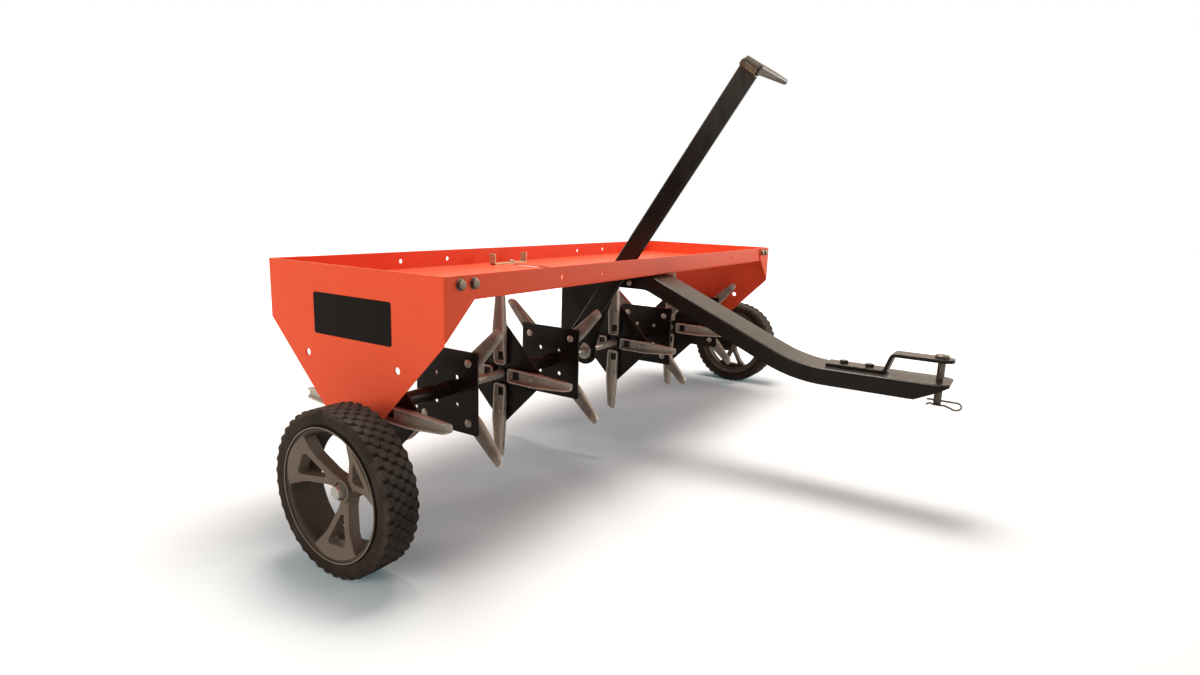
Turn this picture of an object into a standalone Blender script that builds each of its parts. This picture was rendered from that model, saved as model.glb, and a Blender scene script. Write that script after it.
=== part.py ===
# Tow-behind lawn aerator: ballast tray, four coring reels, lift shaft with lever and wheels, gooseneck drawbar.
# X runs across the machine, the drawbar points to -Y and the wheels stand on z = 0.
# Every piece is modelled from the cross shaft, where y = 0. The machine's empty sets it back to suit the origin.

import math

import bmesh
import bpy
from mathutils import Matrix, Vector

GAP = 0.0003
# What a blank has to spare where a cutter trims it, and how long a cutter is that goes right through a sheet
SPARE = 0.002
THROUGH = 0.05

# Tray and end plates
TRAY_LENGTH = 1.220
TRAY_DEPTH = 0.372
TRAY_TOP = 0.400
TRAY_HEIGHT = 0.035
TRAY_SHEET = 0.002
END_SHEET = 0.0025
FOLD_RADIUS = 0.004
END_SHOULDER = 0.312
END_BOTTOM = 0.150
FLANGE_REACH = 0.064
FLANGE_STEP = 0.026
WALL_HOLES_X = (0.230, 0.350)
WALL_HOLE_RADIUS = 0.0042
DRAIN_HOLES = ((-0.339, 0.097), (0.034, 0.092), (0.170, 0.101))
PLATE_HOLE_Y = 0.098
PLATE_HOLE_Z = 0.264
PLATE_HOLE_RADIUS = 0.0055

# Cross shaft, its bushes and the hanger
SHAFT_HEIGHT = 0.1834
SHAFT_RADIUS = 0.008
SHAFT_REACH = 0.632
BORE_RADIUS = SHAFT_RADIUS + 2 * GAP
BUSH_RADIUS = 0.0125
BUSH_FLANGE_RADIUS = 0.018
BUSH_FLANGE = 0.0025
HANGER_SHEET = 0.005
HANGER_BEND = 0.006
HANGER_FOOT_RADIUS = 0.030
HANGER_BACK = 0.0640
HANGER_BACK_END = 0.215
HANGER_FRONT = 0.081
HANGER_FLANGE = 0.028
# Where the hanger's front edge leaves the vertical, and where it turns to the foot
HANGER_FRONT_CORNERS = ((-0.070, 0.316), (-0.081, 0.343))

# Reels
STAR_PITCH = 0.1454
CENTRE_SPACING = 0.2564
STAR_PLATE_SIDE = 0.1407
STAR_PLATE_SHEET = 0.004
REEL_TUBE_RADIUS = 0.0125
REEL_TUBE_PROUD = 0.003
REEL_BORE_RADIUS = 0.0087
SPOON_BOLT_RADIUS_OUT = 0.072
SPOON_SLOT_RADIUS_OUT = 0.034
BOLT_HOLE_RADIUS = 0.0042
SPOON_SHEET = 0.003
SPOON_FOLD = 0.005
SPOON_SQUARE = 0.0125
# Distance out from the shaft, half width and flange height of each station along a spoon
SPOON_STATIONS = (
    (0.0180, 0.0135, 0.0090),
    (0.0850, 0.0130, 0.0145),
    (0.1500, 0.0085, 0.0120),
    (0.1600, 0.0060, 0.0070),
)

# Drawbar and hitch
BAR_WIDTH = 0.084
BAR_DEPTH = 0.0295
BAR_SHEET = 0.004
BAR_BACK = 0.100
BAR_BREAK_Y = -0.174
BAR_KNEE_Y = -0.478
BAR_KNEE_Z = 0.2305
BAR_TIP_Y = -0.7215
BAR_BREAK_RADIUS = 0.080
BAR_KNEE_RADIUS = 0.240
BAR_NOSE_START_Y = -0.672
BAR_NOSE_DROP = 0.010
BAR_NOSE_CORNER = 0.014
STRAP_WIDTH = 0.039
STRAP_SHEET = 0.006
STRAP_BACK_Y = -0.522
STRAP_RISE_Y = -0.617
STRAP_RISE_RUN = 0.010
STRAP_BENDS = (0.004, 0.010)
STRAP_ARM_TOP = 0.268
HITCH_Y = -0.7035
PIN_RADIUS = 0.006
PIN_BOTTOM = 0.188
PIN_HEAD_RADIUS = 0.0115
PIN_HEAD_HEIGHT = 0.005
CLIP_Z = 0.1965
CLIP_WIRE = 0.0015
CLIP_LOOP_RADIUS = 0.0085
CLIP_LOOP_Y = -0.7320
CLIP_LEG_END = 0.016
# The clip hangs turned down by this much about its straight leg
CLIP_TILT = math.radians(32.0)
# Each point of the clip's bowed leg: how far outside the pin's skin, and how far behind its middle
CLIP_BOW = (
    (0.0005, -0.0120), (0.0015, -0.0040), (0.0015, 0.0040), (-0.0010, 0.0100), (0.0030, 0.0150),
)

# Lift: lever, grip, stop, wheel arms
LEVER_X = -0.0845
LEVER_WIDTH = 0.037
LEVER_FLANGE = 0.009
LEVER_SHEET = 0.003
LEVER_FOLD = 0.0035
LEVER_LEAN = math.radians(34.0)
LEVER_START = 0.006
LEVER_TOP = 0.668
LEVER_BEND = 0.006
LEVER_BOSS_RADIUS = 0.0135
LEVER_BOSS_LENGTH = 0.030
TONGUE_WIDTH = 0.029
TONGUE_LAP = 0.020
TONGUE_END_X = 0.050
GRIP_WIDTH = 0.038
GRIP_START_X = -0.0875
GRIP_END_X = 0.0640
GRIP_BOTTOM = 0.6535
GRIP_CORNER = 0.012
GRIP_EDGE = 0.0015
# Side outline of the grip: x and distance out from the shaft, from its heel round the end to the bend's corner
GRIP_OUTLINE = (
    (GRIP_START_X, GRIP_BOTTOM), (-0.0760, GRIP_BOTTOM), (-0.0700, 0.6570), (0.0600, 0.6620),
    (GRIP_END_X, 0.6650), (GRIP_END_X, 0.6690), (0.0600, 0.6720), (-0.0800, 0.6735), (GRIP_START_X, 0.6655),
)
SLOT_WIDTH = 0.024
SLOT_FRONT = -0.155
SLOT_BACK = 0.137
STOP_LEFT_X = -0.134
STOP_RIGHT_X = -0.028
STOP_Y = 0.151
STOP_WIDTH = 0.016
STOP_HEIGHT = 0.023
STOP_SHEET = 0.003
STOP_BEND = 0.005
WHEEL_Y = -0.0797
WHEEL_RADIUS = 0.1141
ARM_X = 0.6260
ARM_SHEET = 0.008
ARM_WIDTH = 0.036

# Wheels, seen from their middle plane
WHEEL_X = 0.6865
TYRE_HALF = 0.0280
TYRE_BEAD_HALF = 0.0235
RIM_SEAT_RADIUS = 0.0865
RIM_LIP_RADIUS = 0.0915
RIM_HALF = 0.0285
RIM_INNER_RADIUS = 0.0835
RIM_THROAT_RADIUS = 0.0768
HUB_RADIUS = 0.0160
HUB_OUTER = 0.0075
HUB_INNER = -0.0215
HUB_FLOOR = 0.0035
HUB_RECESS_RADIUS = 0.0118
SPOKE_COUNT = 3
SPOKE_DEPTH = 0.017
# The spokes' front lies this far outward at the middle, and rises by the slope towards the rim
SPOKE_FRONT = -0.004
SPOKE_SLOPE = 0.374
SPOKE_START = math.radians(184.8)
SPOKE_END_RADIUS = 0.0860
SPOKE_END_SPREAD = 30.0
# Half width and distance out of the corners of a spoke's side, and of its three-cornered window
SPOKE_SIDE = ((0.0085, 0.0040), (0.0098, 0.0240), (0.0235, 0.0550))
SPOKE_WINDOW = ((0.0025, 0.0330), (0.0172, 0.0655), (0.0145, 0.0695))
STUB_END_X = WHEEL_X + HUB_FLOOR - GAP
WHEEL_WASHER_RADIUS = 0.0112
WHEEL_WASHER = 0.0025
WHEEL_HEAD_RADIUS = 0.0095
WHEEL_HEAD = 0.0100
WHEEL_SEGMENTS = 36
SHAFT_SEGMENTS = 16

# The origin is under the middle of the machine's box
FRONT_REACH = -(CLIP_LOOP_Y - CLIP_LOOP_RADIUS - CLIP_WIRE)
REAR_REACH = TRAY_DEPTH / 2 + GAP + END_SHEET
SHAFT_Y = (FRONT_REACH - REAR_REACH) / 2

ORANGE = (0.90, 0.115, 0.045, 1.0)
BLACK = (0.018, 0.015, 0.013, 1.0)
SPOON_STEEL = (0.20, 0.155, 0.125, 1.0)
ZINC = (0.46, 0.44, 0.41, 1.0)
RIM_PLASTIC = (0.115, 0.090, 0.070, 1.0)
TYRE_RUBBER = (0.040, 0.032, 0.026, 1.0)
GRIP_RUBBER = (0.022, 0.020, 0.018, 1.0)


def clear_scene():
    for item in list(bpy.data.objects):
        bpy.data.objects.remove(item)


def new_collection(name):
    collection = bpy.data.collections.new(name)
    bpy.context.scene.collection.children.link(collection)
    return collection


def make_material(name, colour, roughness, metallic):
    material = bpy.data.materials.new(name)
    material.use_nodes = True
    shader = material.node_tree.nodes["Principled BSDF"]
    shader.inputs["Base Color"].default_value = colour
    shader.inputs["Roughness"].default_value = roughness
    shader.inputs["Metallic"].default_value = metallic
    material.diffuse_color = colour
    return material


clear_scene()
ASSEMBLY = new_collection("lawn_aerator")
CUTTERS = new_collection("cutters")
PAINT = make_material("orange_paint", ORANGE, 0.35, 0.0)
ENAMEL = make_material("black_enamel", BLACK, 0.30, 0.0)
STAMPED = make_material("bronzed_steel", SPOON_STEEL, 0.42, 0.8)
PLATED = make_material("zinc_plate", ZINC, 0.35, 1.0)
MOULDED = make_material("rim_plastic", RIM_PLASTIC, 0.5, 0.0)
TREAD = make_material("tyre_rubber", TYRE_RUBBER, 0.75, 0.0)
GRIP = make_material("grip_rubber", GRIP_RUBBER, 0.6, 0.0)


def empty(name, location, parent=None):
    item = bpy.data.objects.new(name, None)
    item.empty_display_size = 0.03
    item.location = location
    item.parent = parent
    ASSEMBLY.objects.link(item)
    return item


def mesh_from(name, build):
    shape = bmesh.new()
    build(shape)
    mesh = bpy.data.meshes.new(name)
    shape.to_mesh(mesh)
    shape.free()
    return mesh


def smooth(mesh, degrees=35.0):
    mesh.shade_smooth()
    mesh.set_sharp_from_angle(angle=math.radians(degrees))
    return mesh


def add_part(name, mesh, material, parent, matrix=Matrix()):
    item = bpy.data.objects.new(name, mesh)
    if not mesh.materials:
        mesh.materials.append(material)
    item.parent = parent
    item.matrix_basis = matrix
    ASSEMBLY.objects.link(item)
    return item


def combine(item, operation, mesh, turn=Matrix()):
    """Cut a part with a mesh, or join the mesh to it. The mesh is placed in the part's own frame."""
    cutter = bpy.data.objects.new(mesh.name, mesh)
    cutter.parent = item.parent
    cutter.matrix_basis = item.matrix_basis @ turn
    cutter.hide_render = True
    cutter.display_type = "WIRE"
    CUTTERS.objects.link(cutter)
    modifier = item.modifiers.new(mesh.name, "BOOLEAN")
    modifier.operation = operation
    modifier.object = cutter
    modifier.solver = "EXACT"


def solidify(item, thickness):
    modifier = item.modifiers.new("sheet", "SOLIDIFY")
    modifier.thickness = thickness
    modifier.offset = -1.0
    modifier.use_even_offset = True


def bevel(item, width, segments=2, degrees=40.0):
    modifier = item.modifiers.new("rounding", "BEVEL")
    modifier.width = width
    modifier.segments = segments
    modifier.limit_method = "ANGLE"
    modifier.angle_limit = math.radians(degrees)


def baked_mesh(item, name):
    view = bpy.context.evaluated_depsgraph_get()
    view.update()
    mesh = bpy.data.meshes.new_from_object(item.evaluated_get(view), depsgraph=view)
    mesh.name = name
    return mesh


def box_mesh(name, low, high):
    low = Vector(low)
    high = Vector(high)
    size = high - low
    place = Matrix.Translation((low + high) / 2) @ Matrix.Diagonal((*size, 1.0))
    return mesh_from(name, lambda shape: bmesh.ops.create_cube(shape, size=1.0, matrix=place))


AXIS_TURNS = {
    "X": Matrix.Rotation(math.radians(90.0), 4, "Y"),
    "Y": Matrix.Rotation(math.radians(-90.0), 4, "X"),
    "Z": Matrix(),
}


def rod_mesh(name, axis, radius, centre, length, segments=SHAFT_SEGMENTS):
    place = Matrix.Translation(centre) @ AXIS_TURNS[axis]
    return mesh_from(name, lambda shape: bmesh.ops.create_cone(
        shape, cap_ends=True, segments=segments, radius1=radius, radius2=radius, depth=length, matrix=place))


def outline_mesh(name, outlines, thickness, plane):
    curve = bpy.data.curves.new(name, "CURVE")
    curve.dimensions = "2D"
    curve.fill_mode = "BOTH"
    curve.extrude = thickness / 2
    for outline in outlines:
        spline = curve.splines.new("POLY")
        spline.points.add(len(outline) - 1)
        for point, (across, up) in zip(spline.points, outline):
            point.co = (across, up, 0.0, 1.0)
        spline.use_cyclic_u = True
    holder = bpy.data.objects.new(name, curve)
    bpy.context.scene.collection.objects.link(holder)
    mesh = baked_mesh(holder, name)
    bpy.data.objects.remove(holder)
    bpy.data.curves.remove(curve)
    columns = {
        "YZ": Matrix(((0, 0, 1, 0), (1, 0, 0, 0), (0, 1, 0, 0), (0, 0, 0, 1))),
        "XY": Matrix(),
        "XZ": Matrix(((1, 0, 0, 0), (0, 0, -1, 0), (0, 1, 0, 0), (0, 0, 0, 1))),
    }
    mesh.transform(columns[plane])
    shape = bmesh.new()
    shape.from_mesh(mesh)
    bmesh.ops.remove_doubles(shape, verts=shape.verts, dist=0.00001)
    bmesh.ops.recalc_face_normals(shape, faces=shape.faces)
    shape.to_mesh(mesh)
    shape.free()
    return mesh


def arc_points(centre, radius, start, end, count):
    angles = [math.radians(start + (end - start) * step / count) for step in range(count + 1)]
    return [(centre[0] + radius * math.cos(angle), centre[1] + radius * math.sin(angle)) for angle in angles]


def rounded_path(corners, radii, count=6):
    """A chain of straight runs with an arc of the given radius at each inner corner."""
    path = [Vector(corners[0])]
    for index, radius in enumerate(radii, start=1):
        corner = Vector(corners[index])
        back = (Vector(corners[index - 1]) - corner).normalized()
        ahead = (Vector(corners[index + 1]) - corner).normalized()
        half = back.angle(ahead) / 2
        centre = corner + (back + ahead).normalized() * (radius / math.sin(half))
        first = corner + back * (radius / math.tan(half))
        last = corner + ahead * (radius / math.tan(half))
        start = math.atan2(*(first - centre).yx)
        turn = math.atan2(*(last - centre).yx) - start
        turn = (turn + math.pi) % (2 * math.pi) - math.pi
        for step in range(count + 1):
            angle = start + turn * step / count
            path.append(centre + radius * Vector((math.cos(angle), math.sin(angle))))
    path.append(Vector(corners[-1]))
    return path


def path_normals(path):
    normals = []
    for index in range(len(path)):
        before = path[max(index - 1, 0)]
        after = path[min(index + 1, len(path) - 1)]
        run = (after - before).normalized()
        normals.append(Vector((-run.y, run.x)))
    return normals


def strip_outline(path, thickness):
    """A strip of even thickness whose outer skin is the path and whose body lies on the path's left."""
    inner = [point + normal * thickness for point, normal in zip(path, path_normals(path))]
    return [tuple(point) for point in path] + [tuple(point) for point in reversed(inner)]


def grid_mesh(name, rows):
    def build(shape):
        verts = [[shape.verts.new(point) for point in row] for row in rows]
        for row, following in zip(verts, verts[1:]):
            for column in range(len(row) - 1):
                shape.faces.new((row[column], row[column + 1], following[column + 1], following[column]))
    return mesh_from(name, build)


def turned_part(name, profile, material, parent, matrix=Matrix(), segments=WHEEL_SEGMENTS):
    """A closed profile of (radius, along) points, turned about the X axis."""
    pairs = list(zip(profile, profile[1:] + profile[:1]))
    area = sum(first[0] * second[1] - second[0] * first[1] for first, second in pairs)
    ring = profile if area < 0.0 else profile[::-1]

    def build(shape):
        verts = [shape.verts.new((along, 0.0, radius)) for radius, along in ring]
        for first, second in zip(verts, verts[1:] + verts[:1]):
            shape.edges.new((first, second))
    item = add_part(name, mesh_from(name, build), material, parent, matrix)
    turn = item.modifiers.new("turned", "SCREW")
    turn.axis = "X"
    turn.angle = math.tau
    turn.steps = segments
    turn.render_steps = segments
    turn.use_merge_vertices = True
    turn.merge_threshold = 0.00001
    return item


def baked_part(item, degrees=35.0):
    """Replace a part's modifiers by their result, so that copies can share one mesh."""
    mesh = smooth(baked_mesh(item, item.name), degrees)
    item.modifiers.clear()
    item.data = mesh
    return mesh


def drill(item, name, axis, radius, centre, length, segments=12):
    combine(item, "DIFFERENCE", rod_mesh(name, axis, radius, centre, length, segments))


def make_tray(parent):
    half_length = TRAY_LENGTH / 2 - END_SHEET - GAP
    half_depth = TRAY_DEPTH / 2
    bottom = TRAY_TOP - TRAY_HEIGHT
    mesh = box_mesh("tray", (-half_length, -half_depth, bottom), (half_length, half_depth, TRAY_TOP))
    shape = bmesh.new()
    shape.from_mesh(mesh)
    top = [face for face in shape.faces if face.normal.z > 0.5]
    bmesh.ops.delete(shape, geom=top, context="FACES_ONLY")
    shape.to_mesh(mesh)
    shape.free()
    tray = add_part("tray", mesh, PAINT, parent)
    bevel(tray, FOLD_RADIUS)
    solidify(tray, TRAY_SHEET)
    slot_x = LEVER_X + LEVER_FLANGE / 2
    half_slot = SLOT_WIDTH / 2
    outline = arc_points((slot_x, SLOT_BACK - half_slot), half_slot, 0.0, 180.0, 6)
    outline += arc_points((slot_x, SLOT_FRONT + half_slot), half_slot, 180.0, 360.0, 6)
    slot = outline_mesh("lever_slot", [outline], TRAY_HEIGHT, "XY")
    slot.transform(Matrix.Translation((0.0, 0.0, bottom)))
    combine(tray, "DIFFERENCE", slot)
    middle = TRAY_TOP - TRAY_HEIGHT / 2
    for side in (-1, 1):
        for offset in WALL_HOLES_X:
            drill(tray, "wall_hole", "Y", WALL_HOLE_RADIUS, (side * offset, 0.0, middle), TRAY_DEPTH * 1.2)
    for across, along in DRAIN_HOLES:
        drill(tray, "drain_hole", "Z", WALL_HOLE_RADIUS, (across, along, bottom), TRAY_HEIGHT)
    return tray


def end_plate_mesh():
    half_depth = TRAY_DEPTH / 2 + GAP + END_SHEET
    face_x = TRAY_LENGTH / 2
    inner_x = face_x - FLANGE_REACH
    plan = [(inner_x, -half_depth), (face_x, -half_depth), (face_x, half_depth), (inner_x, half_depth)]
    rows = [[(across, along, height) for across, along in plan] for height in (END_BOTTOM, TRAY_TOP)]
    plate = add_part("end_plate_right", grid_mesh("end_plate_right", rows), PAINT, None)
    bevel(plate, FOLD_RADIUS, 3)
    solidify(plate, END_SHEET)
    foot = half_depth - (END_SHOULDER - END_BOTTOM)
    outline = [(half_depth + GAP, TRAY_TOP + GAP), (half_depth + GAP, END_SHOULDER), (foot, END_BOTTOM),
               (-foot, END_BOTTOM), (-half_depth - GAP, END_SHOULDER), (-half_depth - GAP, TRAY_TOP + GAP)]
    side = outline_mesh("end_outline", [outline], FLANGE_REACH * 4, "YZ")
    side.transform(Matrix.Translation((face_x, 0.0, 0.0)))
    combine(plate, "INTERSECT", side)
    taper = [(inner_x - GAP, TRAY_TOP - FLANGE_STEP), (inner_x - GAP, END_BOTTOM),
             (face_x - END_SHEET - GAP, END_BOTTOM), (face_x - END_SHEET - GAP, END_SHOULDER)]
    wedge = outline_mesh("flange_taper", [taper], TRAY_DEPTH * 1.3, "XZ")
    combine(plate, "DIFFERENCE", wedge)
    drill(plate, "bush_seat", "X", BUSH_RADIUS + GAP, (face_x, 0.0, SHAFT_HEIGHT), THROUGH, SHAFT_SEGMENTS)
    for side_y in (-PLATE_HOLE_Y, PLATE_HOLE_Y):
        drill(plate, "plate_hole", "X", PLATE_HOLE_RADIUS, (face_x, side_y, PLATE_HOLE_Z), THROUGH)
    return plate


def make_end_plates(parent):
    right = end_plate_mesh()
    mesh = baked_part(right)
    right.parent = parent
    left = add_part("end_plate_left", mesh, PAINT, parent, Matrix.Rotation(math.pi, 4, "Z"))
    return left, right


def make_hanger(parent):
    """A plate that is bent over at the top, where it bolts up under the drawbar and the tray."""
    top = TRAY_TOP - TRAY_HEIGHT - GAP - BAR_SHEET - GAP
    face_x = -HANGER_SHEET / 2
    bend = rounded_path([(HANGER_FLANGE, top), (face_x, top), (face_x, END_BOTTOM - SPARE)], (HANGER_BEND,), 3)
    blank = outline_mesh("centre_hanger", [strip_outline(bend, HANGER_SHEET)], 2 * (HANGER_FRONT + SPARE), "XZ")
    hanger = add_part("centre_hanger", blank, ENAMEL, parent)
    outline = [(HANGER_BACK, top + SPARE), (HANGER_BACK, HANGER_BACK_END)]
    outline += arc_points((0.0, SHAFT_HEIGHT), HANGER_FOOT_RADIUS, -39.0, -205.0, 10)
    outline += [*HANGER_FRONT_CORNERS, (-HANGER_FRONT, top + SPARE)]
    combine(hanger, "INTERSECT", outline_mesh("hanger_outline", [outline], 4 * HANGER_FLANGE, "YZ"))
    drill(hanger, "hanger_bore", "X", BUSH_RADIUS + GAP, (0.0, 0.0, SHAFT_HEIGHT), THROUGH, SHAFT_SEGMENTS)
    return hanger


def make_bush(name, parent, inner_face, sheet, outward):
    """A flanged bush: its flange lies on the sheet's inner face and its sleeve fills the hole."""
    collar = inner_face - outward * GAP
    profile = [
        (BORE_RADIUS, collar - outward * BUSH_FLANGE),
        (BUSH_FLANGE_RADIUS, collar - outward * BUSH_FLANGE),
        (BUSH_FLANGE_RADIUS, collar),
        (BUSH_RADIUS, collar),
        (BUSH_RADIUS, collar + outward * (sheet + 2 * GAP)),
        (BORE_RADIUS, collar + outward * (sheet + 2 * GAP)),
    ]
    place = Matrix.Translation((0.0, 0.0, SHAFT_HEIGHT))
    return turned_part(name, profile, PLATED, parent, place, SHAFT_SEGMENTS)


def make_bushes(parent):
    plate_inside = TRAY_LENGTH / 2 - END_SHEET
    make_bush("shaft_bush_left", parent, -plate_inside, END_SHEET, -1)
    make_bush("shaft_bush_centre", parent, -HANGER_SHEET / 2, HANGER_SHEET, 1)
    make_bush("shaft_bush_right", parent, plate_inside, END_SHEET, 1)


def drawbar_path():
    top = TRAY_TOP - TRAY_HEIGHT - GAP
    corners = [(BAR_BACK, top), (BAR_BREAK_Y, top), (BAR_KNEE_Y, BAR_KNEE_Z), (BAR_TIP_Y, BAR_KNEE_Z)]
    return rounded_path(corners, (BAR_BREAK_RADIUS, BAR_KNEE_RADIUS))


def make_drawbar(parent):
    path = drawbar_path()
    half = BAR_WIDTH / 2
    rows = []
    for point, normal in zip(path, path_normals(path)):
        low = point + normal * BAR_DEPTH
        rows.append([(half, *low), (half, *point), (-half, *point), (-half, *low)])
    drawbar = add_part("drawbar", grid_mesh("drawbar", rows), ENAMEL, parent)
    bevel(drawbar, FOLD_RADIUS, 2, 60.0)
    solidify(drawbar, BAR_SHEET)
    low = BAR_KNEE_Z - BAR_DEPTH - GAP
    nose = [(BAR_NOSE_START_Y, low), (BAR_TIP_Y - GAP, BAR_KNEE_Z - BAR_SHEET), (BAR_TIP_Y - BAR_NOSE_DROP, low)]
    wedge = outline_mesh("nose_taper", [nose], BAR_WIDTH * 1.2, "YZ")
    combine(drawbar, "DIFFERENCE", wedge)
    for side in (-1, 1):
        corner = [(side * (half + GAP), BAR_TIP_Y + BAR_NOSE_CORNER),
                  (side * (half - BAR_NOSE_CORNER), BAR_TIP_Y - GAP), (side * (half + GAP), BAR_TIP_Y - GAP)]
        chamfer = outline_mesh("nose_corner", [corner], THROUGH, "XY")
        chamfer.transform(Matrix.Translation((0.0, 0.0, BAR_KNEE_Z)))
        combine(drawbar, "DIFFERENCE", chamfer)
    pin_at = (0.0, HITCH_Y, BAR_KNEE_Z)
    drill(drawbar, "bar_pin_hole", "Z", PIN_RADIUS + GAP, pin_at, THROUGH, SHAFT_SEGMENTS)
    return drawbar


def make_hitch(parent):
    base = BAR_KNEE_Z + GAP
    tip = HITCH_Y - STRAP_WIDTH / 2
    corners = [(STRAP_BACK_Y + SPARE, base + STRAP_SHEET), (STRAP_RISE_Y, base + STRAP_SHEET),
               (STRAP_RISE_Y - STRAP_RISE_RUN, STRAP_ARM_TOP), (tip - SPARE, STRAP_ARM_TOP)]
    path = rounded_path(corners, STRAP_BENDS, 4)
    side = outline_mesh("hitch_bracket", [strip_outline(path, STRAP_SHEET)], STRAP_WIDTH + 2 * SPARE, "YZ")
    bracket = add_part("hitch_bracket", side, ENAMEL, parent)
    half = STRAP_WIDTH / 2
    plan = [(half, STRAP_BACK_Y), (-half, STRAP_BACK_Y)]
    plan += arc_points((0.0, HITCH_Y), half, 180.0, 360.0, 12)
    end = outline_mesh("strap_plan", [plan], 2 * THROUGH, "XY")
    end.transform(Matrix.Translation((0.0, 0.0, BAR_KNEE_Z)))
    combine(bracket, "INTERSECT", end)
    pin_at = (0.0, HITCH_Y, STRAP_ARM_TOP)
    drill(bracket, "strap_pin_hole", "Z", PIN_RADIUS + GAP, pin_at, THROUGH, SHAFT_SEGMENTS)
    return bracket


def make_pin(parent):
    middle = STRAP_ARM_TOP + GAP + PIN_HEAD_HEIGHT / 2
    place = Matrix.Translation((0.0, HITCH_Y, 0.0))
    shank = rod_mesh("hitch_pin", "Z", PIN_RADIUS, (0.0, 0.0, (PIN_BOTTOM + middle) / 2), middle - PIN_BOTTOM)
    pin = add_part("hitch_pin", shank, PLATED, parent, place)
    head = rod_mesh("pin_head", "Z", PIN_HEAD_RADIUS, (0.0, 0.0, middle), PIN_HEAD_HEIGHT)
    combine(pin, "UNION", head)
    drill(pin, "clip_hole", "Y", CLIP_WIRE + 2 * GAP, (0.0, 0.0, CLIP_Z), THROUGH, 8)
    return pin


def make_clip(parent):
    """A hairpin: a straight leg through the pin, a loop in front, and a leg that bows round the pin's left."""
    side = (PIN_RADIUS + CLIP_WIRE + 2 * GAP) / math.cos(CLIP_TILT)
    points = [(0.0, HITCH_Y + CLIP_LEG_END)]
    points += arc_points((CLIP_LOOP_RADIUS, CLIP_LOOP_Y), CLIP_LOOP_RADIUS, 180.0, 405.0, 14)
    points += [(side + away, HITCH_Y + behind) for away, behind in CLIP_BOW]
    curve = bpy.data.curves.new("hitch_pin_clip", "CURVE")
    curve.dimensions = "3D"
    curve.bevel_depth = CLIP_WIRE
    curve.bevel_resolution = 2
    curve.use_fill_caps = True
    spline = curve.splines.new("POLY")
    spline.points.add(len(points) - 1)
    for point, (across, along) in zip(spline.points, points):
        point.co = (-across * math.cos(CLIP_TILT), along, CLIP_Z - across * math.sin(CLIP_TILT), 1.0)
    curve.materials.append(PLATED)
    clip = bpy.data.objects.new("hitch_pin_clip", curve)
    clip.parent = parent
    ASSEMBLY.objects.link(clip)
    return clip


def spoon_mesh():
    """A stamped trough: flat web on the plate, walls that stand away from it, closed at the hub, open at the tip."""
    def build(shape):
        rings = []
        for out, half, depth in SPOON_STATIONS:
            section = ((-depth, -half), (0.0, -half), (0.0, half), (-depth, half))
            rings.append([shape.verts.new((across, along, out)) for across, along in section])
        shape.faces.new(reversed(rings[0]))
        for ring, following in zip(rings, rings[1:]):
            for column in range(3):
                shape.faces.new((ring[column], ring[column + 1], following[column + 1], following[column]))
    spoon = add_part("spoon", mesh_from("spoon", build), STAMPED, None)
    bevel(spoon, SPOON_FOLD, 1, 50.0)
    solidify(spoon, SPOON_SHEET)
    half = SPOON_SQUARE / 2
    low = (-THROUGH / 2, -half, SPOON_SLOT_RADIUS_OUT - half)
    high = (THROUGH / 2, half, SPOON_SLOT_RADIUS_OUT + half)
    combine(spoon, "DIFFERENCE", box_mesh("square_hole", low, high))
    drill(spoon, "spoon_bolt_hole", "X", BOLT_HOLE_RADIUS, (0.0, 0.0, SPOON_BOLT_RADIUS_OUT), THROUGH, 6)
    mesh = baked_part(spoon)
    bpy.data.objects.remove(spoon)
    return mesh


def reel_hub_mesh():
    """Two square plates welded on a tube. The first plate stands on its corner and the second on its side."""
    half_pitch = STAR_PITCH / 2
    length = STAR_PITCH + STAR_PLATE_SHEET + 2 * REEL_TUBE_PROUD
    hub = add_part("reel_hub", rod_mesh("reel_hub", "X", REEL_TUBE_RADIUS, (0.0, 0.0, 0.0), length), ENAMEL, None)
    half = STAR_PLATE_SIDE / 2
    sheet = STAR_PLATE_SHEET / 2
    for place_x, quarter in ((-half_pitch, 45.0), (half_pitch, 0.0)):
        turn = Matrix.Translation((place_x, 0.0, 0.0)) @ Matrix.Rotation(math.radians(quarter), 4, "X")
        combine(hub, "UNION", box_mesh("star_plate", (-sheet, -half, -half), (sheet, half, half)), turn)
    for quarter in range(4):
        for place_x, start in ((-half_pitch, 0.0), (half_pitch, 45.0)):
            angle = math.radians(start + 90.0 * quarter)
            for radius in (SPOON_BOLT_RADIUS_OUT, SPOON_SLOT_RADIUS_OUT):
                centre = (place_x, radius * math.sin(angle), radius * math.cos(angle))
                drill(hub, "plate_bolt_hole", "X", BOLT_HOLE_RADIUS, centre, THROUGH, 8)
    drill(hub, "reel_bore", "X", REEL_BORE_RADIUS, (0.0, 0.0, 0.0), 2 * length, SHAFT_SEGMENTS)
    mesh = baked_part(hub)
    bpy.data.objects.remove(hub)
    return mesh


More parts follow.
